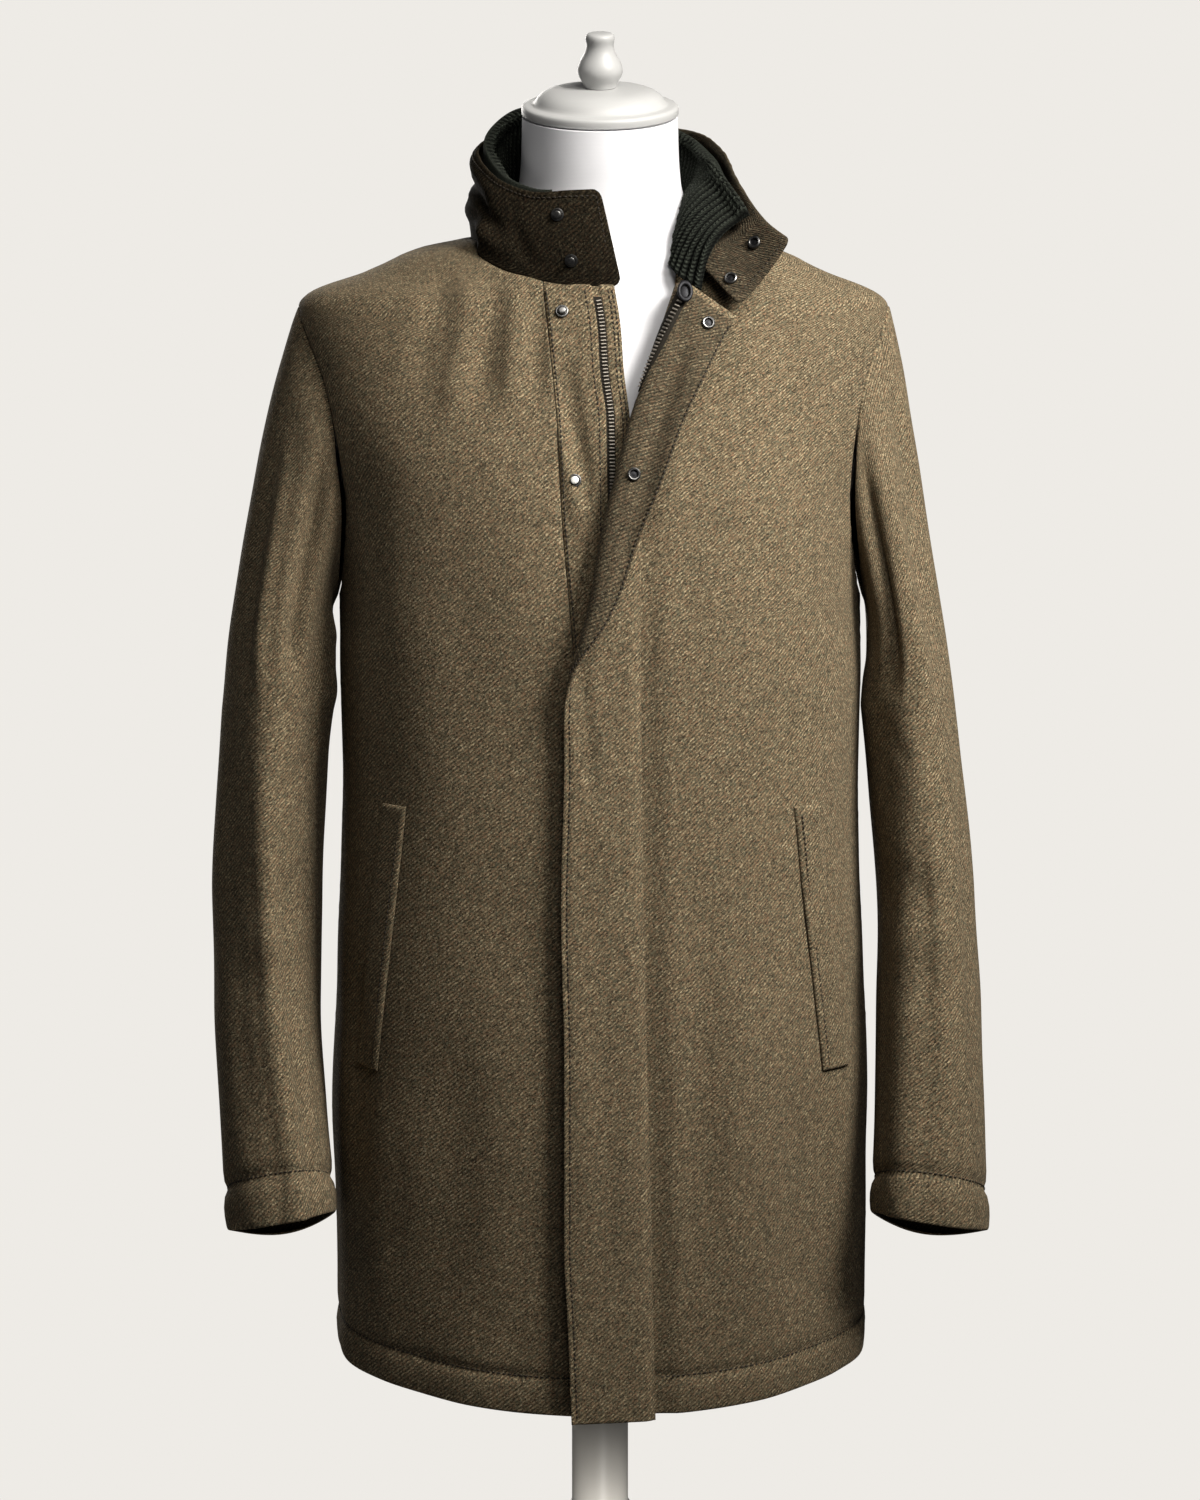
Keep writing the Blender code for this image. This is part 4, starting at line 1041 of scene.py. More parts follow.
# The facing's grid, its seat behind the strip, how its edges thin and how its lower end sinks
FACING_STEP = 0.005
FACING_COLUMNS = 26
FACING_EDGE_SHARES = (0.01, 0.025, 0.975, 0.99)
FACING_SEAT = -STRIP_WALL / 2 - REST_GAP * 0.6
FACING_THINNING = 0.8
FACING_EDGE = 0.003
FACING_SINK = 0.0026
FACING_SINK_RUN = 0.030
TEETH_CLEAR = 0.0024
CREASES_PLACKET = rows(
    CREASE,
    (0.044, 1.190, 0.030, 1.030, 0.010, -0.0024, 0.004),
    (0.050, 1.150, 0.012, 0.980, 0.014, 0.0010, 0.004),
    (0.030, 1.020, 0.034, 0.700, 0.016, -0.0008, 0.003),
    (0.046, 0.930, 0.044, 0.640, 0.012, 0.0008, -0.002),
    (0.012, 0.860, 0.020, 0.620, 0.012, 0.0007, 0.002),
)


def strip_lump(along, height):
    return crease_lift(CREASES_PLACKET, along, height) + padding_lift(along, height) * 0.8


def facing_wave(along, height):
    return padding_lift(along * 1.5, height) * 0.8


def make_placket():
    height = steps(PLACKET_BOTTOM, PLACKET_TOP, PLACKET_STEP)[:, None]
    even = steps(0.0, 1.0, PLACKET_SHARE, soft_low=False, soft_high=False)
    share = np.unique(np.concatenate([even, 1 - np.array(STRIP_EDGE_SHARES), STRIP_SEAM_SHARES]))
    along = placket_along(height, share[None, :])
    height = np.broadcast_to(height, along.shape)
    from_edge = placket_width(height) - along
    near = nearest(along, from_edge, height - PLACKET_BOTTOM, PLACKET_TOP - height)
    dip = edge_dip(near, STRIP_WALL * 0.42)
    lift = strip_lump(along, height)
    groove = stitch_groove(from_edge - EDGE_STITCH, *STRIP_EDGE_GROOVE)
    groove += stitch_groove(height - PLACKET_BOTTOM - HEM_STITCH, *STRIP_HEM_GROOVE)
    lift += pucker(height, from_edge, 0.00018) + stitch_groove(along, *STRIP_SEAM_DIP)
    outer = placket_point(height, along, STRIP_WALL / 2 - dip + groove + lift)
    inner = placket_point(height, along, -STRIP_WALL / 2 + dip - groove + lift * 0.6)
    piece = dress(sheet_object("coat_placket", outer, inner, (WOOL,)), "wool", "placket_left")


def make_facing():
    height = steps(*FACING_SPAN, FACING_STEP)[:, None]
    even = np.linspace(0, 1, FACING_COLUMNS)
    share = np.unique(np.concatenate([even, FACING_EDGE_SHARES]))[None, :]
    width = placket_width(height)
    first = np.maximum(width - ZIP_FROM_EDGE + TEETH_CLEAR, placket_flat(height) + FACING_ROLL_CLEAR)
    last = width - FACING_MARGIN
    along = first + (last - first) * share
    height = np.broadcast_to(height, along.shape)
    from_low, from_high = height - FACING_SPAN[0], FACING_SPAN[1] - height
    near = nearest(along - first, last - along, from_low, from_high)
    thin = TRIM_WALL * (1 - FACING_THINNING * bump(near, FACING_EDGE))
    thin = thin - FACING_SINK * bump(from_low, FACING_SINK_RUN)
    outer = placket_point(height, along, FACING_SEAT - thin - facing_wave(along, height))
    inner = placket_point(height, along, FACING_SEAT)
    piece = dress(sheet_object("coat_facing", outer, inner, (WOOL_FACING_PAINTED_SHADE,)), "facing", "facing_left")


# Creases of the sleeves, in metres round from the outer side to the front and down from the shoulder
CREASES_SLEEVE = {
    "right": rows(
        CREASE,
        (0.052, 0.08, 0.086, 0.37, 0.013, 0.0052, 0.003),
        (0.088, 0.34, 0.134, 0.95, 0.020, 0.0070, -0.003),
        (0.090, 0.01, 0.122, 0.33, 0.018, -0.0085, 0.003),
        (0.166, 0.04, 0.172, 0.44, 0.030, 0.0078, 0.000),
        (0.054, 0.36, 0.084, 0.76, 0.028, -0.0035, 0.004),
        (0.012, 0.16, 0.016, 0.60, 0.024, 0.0016, -0.004),
        (0.110, 0.44, 0.156, 0.38, 0.009, -0.0020, 0.004),
        (0.116, 0.51, 0.160, 0.47, 0.010, -0.0018, 0.005),
        (-0.050, 0.10, -0.056, 0.44, 0.018, -0.0024, 0.004),
        (-0.090, 0.42, -0.030, 0.47, 0.012, 0.0020, 0.004),
        (-0.100, 0.52, -0.040, 0.55, 0.011, 0.0016, -0.003),
    ),
    "left": rows(
        CREASE,
        (0.094, 0.00, 0.130, 0.36, 0.024, -0.0110, 0.003),
        (0.166, 0.02, 0.172, 0.50, 0.030, 0.0030, 0.000),
        (0.048, 0.05, 0.030, 0.24, 0.013, -0.0042, 0.002),
        (0.134, 0.40, 0.138, 0.95, 0.030, 0.0056, 0.002),
        (0.056, 0.06, 0.080, 0.40, 0.018, 0.0034, -0.004),
        (0.022, 0.20, 0.030, 0.56, 0.022, 0.0014, 0.004),
        (0.100, 0.42, 0.150, 0.36, 0.010, -0.0010, 0.004),
        (0.092, 0.52, 0.148, 0.47, 0.010, -0.0008, 0.005),
        (0.088, 0.44, 0.078, 0.71, 0.018, 0.0022, -0.004),
        (0.046, 0.42, 0.044, 0.69, 0.014, -0.0016, -0.003),
        (-0.054, 0.08, -0.050, 0.40, 0.018, -0.0024, -0.004),
        (-0.096, 0.45, -0.034, 0.43, 0.012, 0.0022, 0.004),
        (-0.094, 0.57, -0.044, 0.53, 0.010, 0.0016, 0.003),
    ),
}
SLEEVE_ROUND = 0.062
SLEEVE_LENGTH = 0.373
HEAD_LENGTH = 0.3
SLEEVE_STEP = 0.006
SLEEVE_COLUMNS = 88
CUFF_STITCH = 0.0270


def sleeve_around(turn):
    """Metres round the sleeve from its outer side."""
    return ((turn + math.pi) % math.tau - math.pi) * SLEEVE_ROUND


def make_sleeve(side):
    sleeve = Sleeve(side)
    turn = np.linspace(0, math.tau, SLEEVE_COLUMNS, endpoint=False)[None, :]
    head = steps(0.0, HEAD_LENGTH, SLEEVE_STEP, soft_high=False) / HEAD_LENGTH
    cuff = 2 - (CUFF_STITCH + np.array((0.005, 0.002, -0.002, -0.005))) / SLEEVE_LENGTH
    tube = 1 + steps(0.0, SLEEVE_LENGTH, SLEEVE_STEP, soft_low=False) / SLEEVE_LENGTH
    along = np.unique(np.concatenate([head, tube, cuff]))[:, None]
    turn, along = np.broadcast_arrays(turn, along)
    from_cuff = (2 - along) * SLEEVE_LENGTH
    from_head = along * HEAD_LENGTH
    around = sleeve_around(turn)
    down = along * SLEEVE_LENGTH
    lift = sleeve.fold(turn, along) + crease_lift(CREASES_SLEEVE[side], around, down)
    lift += padding_lift(around * np.cos(turn / 2) ** 2, down + sleeve.sign)
    lift += stitch_groove(from_cuff - CUFF_STITCH, *CUFF_GROOVE)
    lift += CUFF_PUFF * bump(from_cuff - CUFF_STITCH * 0.45, CUFF_STITCH * 0.55)
    lift += pucker(around, from_cuff - CUFF_STITCH, 0.00040)
    dip = edge_dip(np.minimum(from_cuff, from_head))
    plain, normal = sleeve.surface(turn, along), sleeve.normal(turn, along)
    outer = lifted(plain, normal, lift - dip)
    inner = lifted(plain, normal, lift * 0.8 - WALL + dip * 0.6)
    finishes = (WOOL, WOOL_INSIDE_PAINTED_SHADE)
    piece = sheet_object(f"coat_sleeve_{side}", outer, inner, finishes, tube=True, down=-plain[..., 2])
    dress(piece, "wool", f"sleeve_{side}")


# Creases of the collar, in metres along from the tab end and up from the neck seam
CREASES_COLLAR = rows(
    CREASE,
    (0.070, 0.030, 0.205, 0.048, 0.010, -0.0050, 0.004),
    (0.085, 0.054, 0.200, 0.066, 0.010, 0.0026, 0.003),
    (0.060, 0.012, 0.200, 0.022, 0.011, 0.0026, 0.003),
    (0.058, 0.004, 0.074, 0.050, 0.008, -0.0016, 0.002),
    (0.180, 0.010, 0.280, 0.032, 0.012, 0.0016, 0.003),
    (0.300, 0.050, 0.400, 0.020, 0.012, -0.0018, 0.004),
    (0.490, 0.012, 0.545, 0.060, 0.012, 0.0016, 0.003),
)
COLLAR_TALL = 0.074
COLLAR_ROW_STEP = 0.003
COLLAR_STEP = 0.0036
TAB_CORNER = 0.0075
COLLAR_STITCH = 0.0050
COLLAR_TUCK = 0.0035
# Painted shade on the collar: colour scale at the tab and at the back, and the share of its length where it
# starts to lighten and the run over which it does.
COLLAR_TAB_PAINTED_SHADE = 0.13
COLLAR_BACK_PAINTED_SHADE = 0.45
PAINTED_SHADE_FROM = 0.28
PAINTED_SHADE_RUN = 0.20


def make_collar():
    collar = Collar()
    length, tall = collar.length, COLLAR_TALL
    rise = (steps(-COLLAR_TUCK, tall, COLLAR_ROW_STEP) / tall)[:, None]
    share = (steps(0.0, length, COLLAR_STEP) / length)[None, :]
    from_top, from_base = (1 - rise) * tall, rise * tall + COLLAR_TUCK
    corner = np.maximum(0.0, TAB_CORNER - np.minimum(from_top, from_base))
    cut = (TAB_CORNER - np.sqrt(TAB_CORNER ** 2 - corner ** 2)) / length
    share = cut + (1 - 1.6 * cut) * share
    rise = np.broadcast_to(rise, share.shape)
    station = collar.stations(share)
    along, up = share * length, rise * tall
    from_end = np.minimum(along - cut * length, (1 - share) * length - 0.6 * cut * length)
    lift = crease_lift(CREASES_COLLAR, along, up) + padding_lift(along, up * 2) * 1.2
    lift += stitch_groove(np.minimum(from_end, tall - up) - COLLAR_STITCH, *COLLAR_GROOVE)
    lift += pucker(along, tall - up, 0.00030)
    dip = edge_dip(nearest(from_end, up + COLLAR_TUCK, tall - up))
    outer = collar.place(station, rise, lift - dip)
    inner = collar.place(station, rise, lift * 0.7 - WALL + dip)
    piece = dress(sheet_object("coat_collar", outer, inner, (WOOL_COLLAR_PAINTED_SHADE, WOOL_INSIDE_PAINTED_SHADE)), "wool", "collar")
    # Painted shade: the collar's colour is scaled down most at the tab and less towards the back.
    less_painted_shade = (COLLAR_BACK_PAINTED_SHADE - COLLAR_TAB_PAINTED_SHADE) * smooth((share - PAINTED_SHADE_FROM) / PAINTED_SHADE_RUN)
    point_values(piece, "shade", np.tile(COLLAR_TAB_PAINTED_SHADE + less_painted_shade.ravel(), 2))
    return collar


def welt_line(share):
    """The opening edge of a pocket: distance across and height for a share of its length."""
    return [WELT_BOTTOM[axis] + (WELT_TOP[axis] - WELT_BOTTOM[axis]) * share for axis in ("across", "height")]


def make_welts():
    tall = math.hypot(*[WELT_TOP[axis] - WELT_BOTTOM[axis] for axis in ("across", "height")])
    v = (steps(0.0, tall, WELT_ROW_STEP) / tall)[:, None]
    u = (steps(0.0, WELT_WIDTH, WELT_STEP) / WELT_WIDTH)[None, :]
    across, height = welt_line(v)
    across, height = np.broadcast_arrays(across + WELT_WIDTH * u, height)
    near = np.minimum(np.minimum(u, 1 - u) * WELT_WIDTH, np.minimum(v, 1 - v) * tall)
    dip = edge_dip(near, WELT_WALL * 0.8)
    for side, sign, creases in (("right", -1, CREASES_FRONT_RIGHT), ("left", 1, CREASES_FRONT_LEFT)):
        seat = crease_lift(creases, sign * across, height) + padding_lift(sign * across, height) + WELT_SEAT
        outer = front_point(sign * across, height, seat + WELT_WALL - dip)
        inner = front_point(sign * across, height, seat)
        piece = sheet_object(f"pocket_edge_{side}", outer, inner, (WOOL,))
        dress(piece, "wool", f"pocket_welt_{side}")


make_placket()
make_facing()
make_sleeve("right")
make_sleeve("left")
collar = make_collar()
make_welts()


def metal_finish(name, colour, roughness):
    """Dark plated metal with small rubbed marks."""
    finish, tree, shader = new_finish(name, roughness, Metallic=1.0)
    marks = noise(tree, object_place(tree), 1600.0, 3.0, (-700, 0), 0.7)
    stops = [(at, tuple(share * part for part in colour)) for at, share in ((0.30, 0.62), (0.70, 1.25))]
    colour_surface(tree, shader, picked_colour(tree, marks, stops))
    rubbed = ranged(tree, marks, roughness * 0.75, roughness * 1.35, (-450, -150))
    tree.links.new(rubbed, shader.inputs["Roughness"])
    return finish


GUNMETAL = metal_finish("gunmetal", (0.15, 0.147, 0.143), 0.33)
# Dark matte metal of the slider and its pull, also laid in the sockets' hollows as painted shade.
DARK_METAL_AND_SOCKET_SHADE = metal_finish("zip_pull", (0.028, 0.028, 0.030), 0.50)
# Pale metal for one stud's top: a painted glint.
PAINTED_GLINT_METAL = metal_finish("painted_glint_metal", (0.80, 0.79, 0.76), 0.62)
TOOTH_METAL = metal_finish("zip_tooth", (0.30, 0.27, 0.23), 0.42)


def start_shaping():
    for item in bpy.context.selected_objects:
        item.select_set(False)


def turn_profile(name, profile, segments):
    """A turned piece: one ring is pulled up and in by the profile's radii and heights."""
    start_shaping()
    radius, height = profile[0]
    bpy.ops.mesh.primitive_circle_add(vertices=segments, radius=radius, location=(0, 0, height))
    piece = bpy.context.object
    piece.name = piece.data.name = name
    bpy.ops.object.transform_apply(location=True, rotation=True, scale=True)
    bpy.ops.object.mode_set(mode="EDIT")
    bpy.ops.mesh.select_all(action="SELECT")
    bpy.ops.mesh.edge_face_add()
    bpy.ops.mesh.select_all(action="SELECT")
    for (old_radius, old_height), (radius, height) in zip(profile, profile[1:]):
        if radius < 1e-6:
            bpy.ops.mesh.extrude_region_move(TRANSFORM_OT_translate={"value": (0, 0, height - old_height)})
            bpy.ops.mesh.merge(type="CENTER")
            break
        bpy.ops.mesh.extrude_region_move(TRANSFORM_OT_translate={"value": (0, 0, height - old_height)})
        grow = radius / old_radius
        bpy.ops.transform.resize(value=(grow, grow, 1.0), center_override=(0, 0, height))
    bpy.ops.mesh.select_all(action="SELECT")
    bpy.ops.mesh.normals_make_consistent(inside=False)
    bpy.ops.object.mode_set(mode="OBJECT")
    bpy.ops.object.shade_smooth_by_angle(angle=math.radians(35))
    return piece


def seat_piece(piece, place, normal, scale=(1, 1, 1)):
    """Puts a finished piece on its seat, its own +Z along the normal, and keeps the place in its mesh."""
    stand = Vector(normal).to_track_quat("Z", "Y").to_matrix().to_4x4()
    stretch = Matrix.Diagonal((*scale, 1.0))
    piece.data.transform(Matrix.Translation(Vector(place)) @ stand @ stretch)
    piece.data.update()


def surface_seat(place, lift):
    """Seat and direction on a sheet: place(right, up, lift) gives a point near the seat."""
    step = 0.002
    across = place(step, 0, lift) - place(-step, 0, lift)
    up = place(0, step, lift) - place(0, -step, lift)
    return place(0, 0, lift), unit(np.cross(across, up))


SNAP = 0.0047
SNAP_SEGMENTS = 28
# Collar stations and shares of its height to a metre, near the tab and the open end
TAB_STATIONS = 30
END_STATIONS = 20
COLLAR_RISES = 14
# Socket faces within this radius take the dark metal: painted shade in the hollow.
SOCKET_PAINTED_SHADE_RADIUS = 0.58 * SNAP
# The stud whose faces above this height take the pale metal: a painted glint on its top.
PAINTED_GLINT_STUD = "stud_4"
PAINTED_GLINT_ABOVE = 0.0033
# Turned profiles of the snaps, as shares of their radius, and heights
STUD_PROFILE = (
    (0.96, -0.0004), (1.02, 0.0002), (1.02, 0.0006), (0.97, 0.0011), (0.86, 0.0013),
    (0.72, 0.0012), (0.62, 0.0008), (0.55, 0.0008), (0.50, 0.0012), (0.50, 0.0024),
    (0.62, 0.0029), (0.60, 0.0034), (0.54, 0.0036), (0.30, 0.0037), (0.0, 0.0037),
)
SOCKET_PROFILE = (
    (0.96, -0.0004), (1.04, 0.0003), (1.04, 0.0008), (0.98, 0.0015), (0.84, 0.0019),
    (0.70, 0.0018), (0.60, 0.0013), (0.56, 0.0004), (0.54, 0.0002), (0.40, 0.0001),
    (0.24, 0.0003), (0.0, 0.0003),
)


def on_lapel(height, from_edge):
    """Seats on the turned-out side of the fly strip, over the facing or the tape."""
    def place(right, up, lift):
        along = placket_width(height + up) - from_edge + right
        return placket_point(height + up, along, -STRIP_WALL / 2 - REST_GAP - TRIM_WALL - lift)
    return place


def make_snaps():
    """Studs on the tab and the underlap, sockets on the open collar end and the turned-out facing."""
    def on_tab(station, rise):
        return lambda right, up, lift: collar.place(
            station - right * TAB_STATIONS, rise + up * COLLAR_RISES, lift)

    def on_underlap(across, height):
        return lambda right, up, lift: front_point(across + right, height + up, lift)

    def on_open_end(station, rise):
        return lambda right, up, lift: collar.place(
            station - right * END_STATIONS, rise - up * COLLAR_RISES, -WALL - lift)

    seats = {
        "stud_1": on_tab(1.28, 0.74),
        "stud_2": on_tab(0.96, 0.24),
        "stud_3": on_underlap(-0.0275, 1.4020),
        "stud_4": on_underlap(-0.0180, 1.2840),
        "socket_1": on_open_end(10.38, 0.68),
        "socket_2": on_open_end(10.62, 0.12),
        "socket_3": on_lapel(1.4080, 0.0160),
        "socket_4": on_lapel(1.2900, 0.0210),
    }
    for name, place in seats.items():
        hollow = name.startswith("socket")
        profile = [(share * SNAP, up) for share, up in (SOCKET_PROFILE if hollow else STUD_PROFILE)]
        piece = turn_profile(f"snap_{name}", profile, SNAP_SEGMENTS)
        piece.data.materials.append(GUNMETAL)
        piece.data.materials.append(DARK_METAL_AND_SOCKET_SHADE if hollow else PAINTED_GLINT_METAL)
        for face in piece.data.polygons:
            if hollow:
                # Painted shade: the hollow's faces take the dark metal.
                face.material_index = int(face.center.xy.length < SOCKET_PAINTED_SHADE_RADIUS)
            elif name == PAINTED_GLINT_STUD:
                # Painted glint: the stud's top faces take the pale metal.
                face.material_index = int(face.center.z > PAINTED_GLINT_ABOVE)
        seat_piece(piece, *surface_seat(place, SEAM_GAP))
        dress(piece, "gunmetal", name)


TOOTH_PITCH = 0.0025
TOOTH_SIZE = (0.0042, 0.00135, 0.0017)
TOOTH_ROUND = 0.0004


def tooth_shape():
    """One zip tooth: a bar with softened edges."""
    start_shaping()
    bpy.ops.mesh.primitive_cube_add(size=1.0)
    tooth = bpy.context.object
    tooth.scale = TOOTH_SIZE
    bpy.ops.object.transform_apply(location=True, rotation=True, scale=True)
    bpy.ops.object.mode_set(mode="EDIT")
    bpy.ops.mesh.select_all(action="SELECT")
    bpy.ops.mesh.bevel(offset=TOOTH_ROUND, segments=1, affect="EDGES")
    bpy.ops.object.mode_set(mode="OBJECT")
    return tooth


def stamped(shape, size, places, sides, aheads, outs):
    """Points and faces of copies of a shape: its X to the side, its Y ahead and its Z out of the cloth."""
    verts = np.array([vert.co[:] for vert in shape.data.vertices]) * size
    axes = zip(verts.T, (sides, aheads, outs))
    copies = places[:, None] + sum(part[None, :, None] * axis[:, None] for part, axis in axes)
    faces = [list(face.vertices) for face in shape.data.polygons]
    moved = [[index + count * len(verts) for index in face] for count in range(len(places)) for face in faces]
    return copies.reshape(-1, 3), moved


def teeth_row(name, tooth, path, aheads, outs):
    """Copies of the tooth along a path, joined into one piece."""
    verts, faces = stamped(tooth, 1.0, path, np.cross(aheads, outs), aheads, outs)
    piece = add_piece(name, verts, faces, (TOOTH_METAL,))
    start_shaping()
    piece.select_set(True)
    bpy.context.view_layer.objects.active = piece
    bpy.ops.object.shade_smooth_by_angle(angle=math.radians(30))
    return dress(piece, "gunmetal")


def tape_finish():
    """Dark woven zip tape with fine cross ribs."""
    finish, tree, shader = new_finish("zip_tape", 0.85, Specular_IOR_Level=0.2)
    rib = bands(tree, cloth_chart(tree), 420.0, "Y", (-650, 0))
    stops = ((0.2, (0.006, 0.005, 0.003)), (0.8, (0.020, 0.016, 0.011)))
    colour_surface(tree, shader, picked_colour(tree, rib, stops))
    raise_surface(tree, shader, rib, 0.4, 0.0003)
    return finish


# The tapes' seats and how high their backs, faces and teeth lie
ZIPS = {
    "right": {"seat": "underlap", "span": ZIP_RIGHT_SPAN, "lead": 0.0006},
    "left": {"seat": "placket", "span": ZIP_LEFT_SPAN, "lead": -0.0006},
}
TAPE_BACK = 0.0004
TAPE_FACE = 0.0010
TEETH_MIDDLE = 0.0014
TAPE_STEP = 0.004
TEETH_FROM_LOW = 0.004
TEETH_FROM_HIGH = 0.002
NUDGE = 0.001


def right_tape(height, across, lift):
    x = GUARD_ACROSS(height) - ZIP_FROM_GUARD + across
    return front_point(x, height, front_seat(CREASES_UNDERLAP, x, height) + lift)


def left_tape(height, across, lift):
    return placket_point(height, placket_width(height) - ZIP_FROM_EDGE + across, -STRIP_WALL / 2 - lift)


def make_zips():
    tape = tape_finish()
    tooth = tooth_shape()
    across = ZIP_WIDTH * np.linspace(-0.5, 0.5, 7)[None, :]
    for surface, (side, row) in zip((right_tape, left_tape), ZIPS.items()):
        (low, high), lead = row["span"], row["lead"]
        height = np.arange(low, high, TAPE_STEP)[:, None]
        outer, inner = surface(height, across, TAPE_FACE), surface(height, across, TAPE_BACK)
        piece = dress(sheet_object(f"zip_tape_{side}", outer, inner, (tape,)), "wool", f"zip_{side}")
        length = arc_lengths(outer[:, 3], 0)[-1]
        marks = np.arange(low + TEETH_FROM_LOW, high - TEETH_FROM_HIGH, TOOTH_PITCH)
        before, path, after = [surface(marks + step, lead, TEETH_MIDDLE) for step in (-NUDGE, 0, NUDGE)]
        out = unit(surface(marks, lead, TEETH_MIDDLE + NUDGE) - path)
        teeth_row(f"zip_teeth_{side}", tooth, path, unit(after - before), out)
    bpy.data.objects.remove(tooth, do_unlink=True)


SLIDER_HEIGHT = 1.4120
SLIDER_SEAT = SEAM_GAP * 2.5
SLIDER_SIZE = (0.0036, 0.0056, 0.0026)
SLIDER_PROFILE = ((0.80, 0.0), (1.0, 0.12), (1.0, 0.55), (0.90, 0.80), (0.70, 0.92), (0.0, 0.95))
PULL_SIZE = (0.0044, 0.0066, 0.0036)
PULL_LIFT = 0.0034


def make_slider():
    """The zip's slider, a rounded body with an oval ring pull that lies on the tape."""
    seat, normal = surface_seat(on_lapel(SLIDER_HEIGHT, ZIP_FROM_EDGE), SLIDER_SEAT)
    body = turn_profile("zip_slider_body", SLIDER_PROFILE, 24)
    body.data.materials.append(DARK_METAL_AND_SOCKET_SHADE)
    seat_piece(body, seat, normal, SLIDER_SIZE)
    dress(body, "gunmetal", "zip_slider")
    start_shaping()
    bpy.ops.mesh.primitive_torus_add(major_radius=1.0, minor_radius=0.30, major_segments=32,
                                     minor_segments=12)
    pull = bpy.context.object
    pull.name = pull.data.name = "zip_pull_ring"
    pull.data.materials.append(DARK_METAL_AND_SOCKET_SHADE)
    bpy.ops.object.shade_smooth()
    seat_piece(pull, seat + normal * PULL_LIFT, normal, PULL_SIZE)
    dress(pull, "gunmetal")


make_snaps()
make_zips()
make_slider()


# Dress form and stand
FORM_INSET = {
    "height": (0.800, 0.900, 1.000, 1.100, 1.200, 1.300, 1.360, 1.4508),
    "inset": (0.034, 0.036, 0.040, 0.030, 0.015, 0.0085, 0.0056, 0.0053),
}
NECK = {
    "height": (1.4630, 1.4750, 1.4900, 1.5120, 1.5390),
    "half_width": (0.0740, 0.0640, 0.0595, 0.0578, 0.0570),
    "half_depth": (0.0640, 0.0620, 0.0610, 0.0600, 0.0590),
    "forward": (0.0010, 0.0030, 0.0050, 0.0080, 0.0110),
    "tilt": (0.00, 0.05, 0.20, 0.60, 1.00),
}
FORM_BOTTOM = 0.800
# Heights of the rings: start, end and step, and up the neck start, end and count
FORM_RINGS = (0.812, 1.45, 0.010)
NECK_RINGS = (NECK_SIDE, 1.539, 24)
FORM_COLUMNS = 96
NECK_JOIN_FROM = 1.434
NECK_JOIN_RUN = 0.042
CAP_TILT = math.radians(9.5)
CAP_CENTRE = (0.0, -0.0112, 1.5395)
FINIAL_SEAT = 0.0208
POLE_RADIUS = 0.0215


def form_ring(angle, height):
    """The form under the coat, and its neck, which leans with the cap."""
    inset = Curve(FORM_INSET, "inset")(height)
    torso = lifted(body_ring(angle, height), body_normal(angle, height), -inset)
    neck = {column: Curve(NECK, column)(height) for column in NECK if column != "height"}
    ahead = neck["half_depth"] * np.cos(angle)
    drop = math.sin(CAP_TILT) * neck["tilt"] * ahead
    above = points(neck["half_width"] * np.sin(angle), -neck["forward"] - ahead, height - drop)
    joined = np.expand_dims(smooth((height - NECK_JOIN_FROM) / NECK_JOIN_RUN), -1)
    return torso * (1 - joined) + above * joined


def jersey_finish():
    """Smooth white jersey drawn tight: very fine knit rows."""
    finish, tree, shader = new_finish("white_jersey", 0.88, Sheen_Weight=0.08, Specular_IOR_Level=0.2)
    where = object_place(tree)
    soft = noise(tree, where, 30.0, 2.0, (-650, -150))
    stops = ((0.3, (0.66, 0.66, 0.685)), (0.7, (0.71, 0.71, 0.735)))
    colour_surface(tree, shader, picked_colour(tree, soft, stops))
    knit_rows = bands(tree, where, 330.0, "Z", (-650, 100), Distortion=1.0, Detail=1.0)
    raise_surface(tree, shader, knit_rows, 0.12, 0.0002)
    return finish


def paint_finish(name, colour, roughness, coat):
    """Sprayed paint: a faint orange-peel surface and slightly uneven tone."""
    finish, tree, shader = new_finish(name, roughness, Coat_Weight=coat, Coat_Roughness=0.25)
    where = object_place(tree)
    soft = noise(tree, where, 22.0, 3.0, (-650, -250))
    stops = ((0.3, tuple(0.95 * part for part in colour)), (0.7, colour))
    colour_surface(tree, shader, picked_colour(tree, soft, stops))
    raise_surface(tree, shader, noise(tree, where, 420.0, 2.0, (-650, 0)), 0.06, 0.0004)
    return finish


CAP_PROFILE = (
    (0.0552, 0.0003), (0.0566, 0.0006), (0.0574, 0.0014), (0.0576, 0.0030), (0.0576, 0.0050),
    (0.0573, 0.0066), (0.0564, 0.0076), (0.0545, 0.0081), (0.0508, 0.0083), (0.0494, 0.0087),
    (0.0482, 0.0098), (0.0470, 0.0116), (0.0454, 0.0137), (0.0432, 0.0156), (0.0402, 0.0174),
    (0.0360, 0.0188), (0.0300, 0.0198), (0.0210, 0.0204), (0.0120, 0.0206), (0.0, 0.0206),
)
FINIAL_PROFILE = (
    (0.0112, 0.0000), (0.0119, 0.0003), (0.0122, 0.0014), (0.0128, 0.0030), (0.0140, 0.0054),
    (0.0156, 0.0082), (0.0165, 0.0108), (0.0167, 0.0128), (0.0163, 0.0152), (0.0152, 0.0182),
    (0.0135, 0.0212), (0.0119, 0.0240), (0.0106, 0.0270), (0.0100, 0.0296), (0.0100, 0.0318),
    (0.0105, 0.0342), (0.0108, 0.0360), (0.0105, 0.0378), (0.0096, 0.0391), (0.0082, 0.0397),
    (0.0040, 0.0400), (0.0, 0.0400),
)
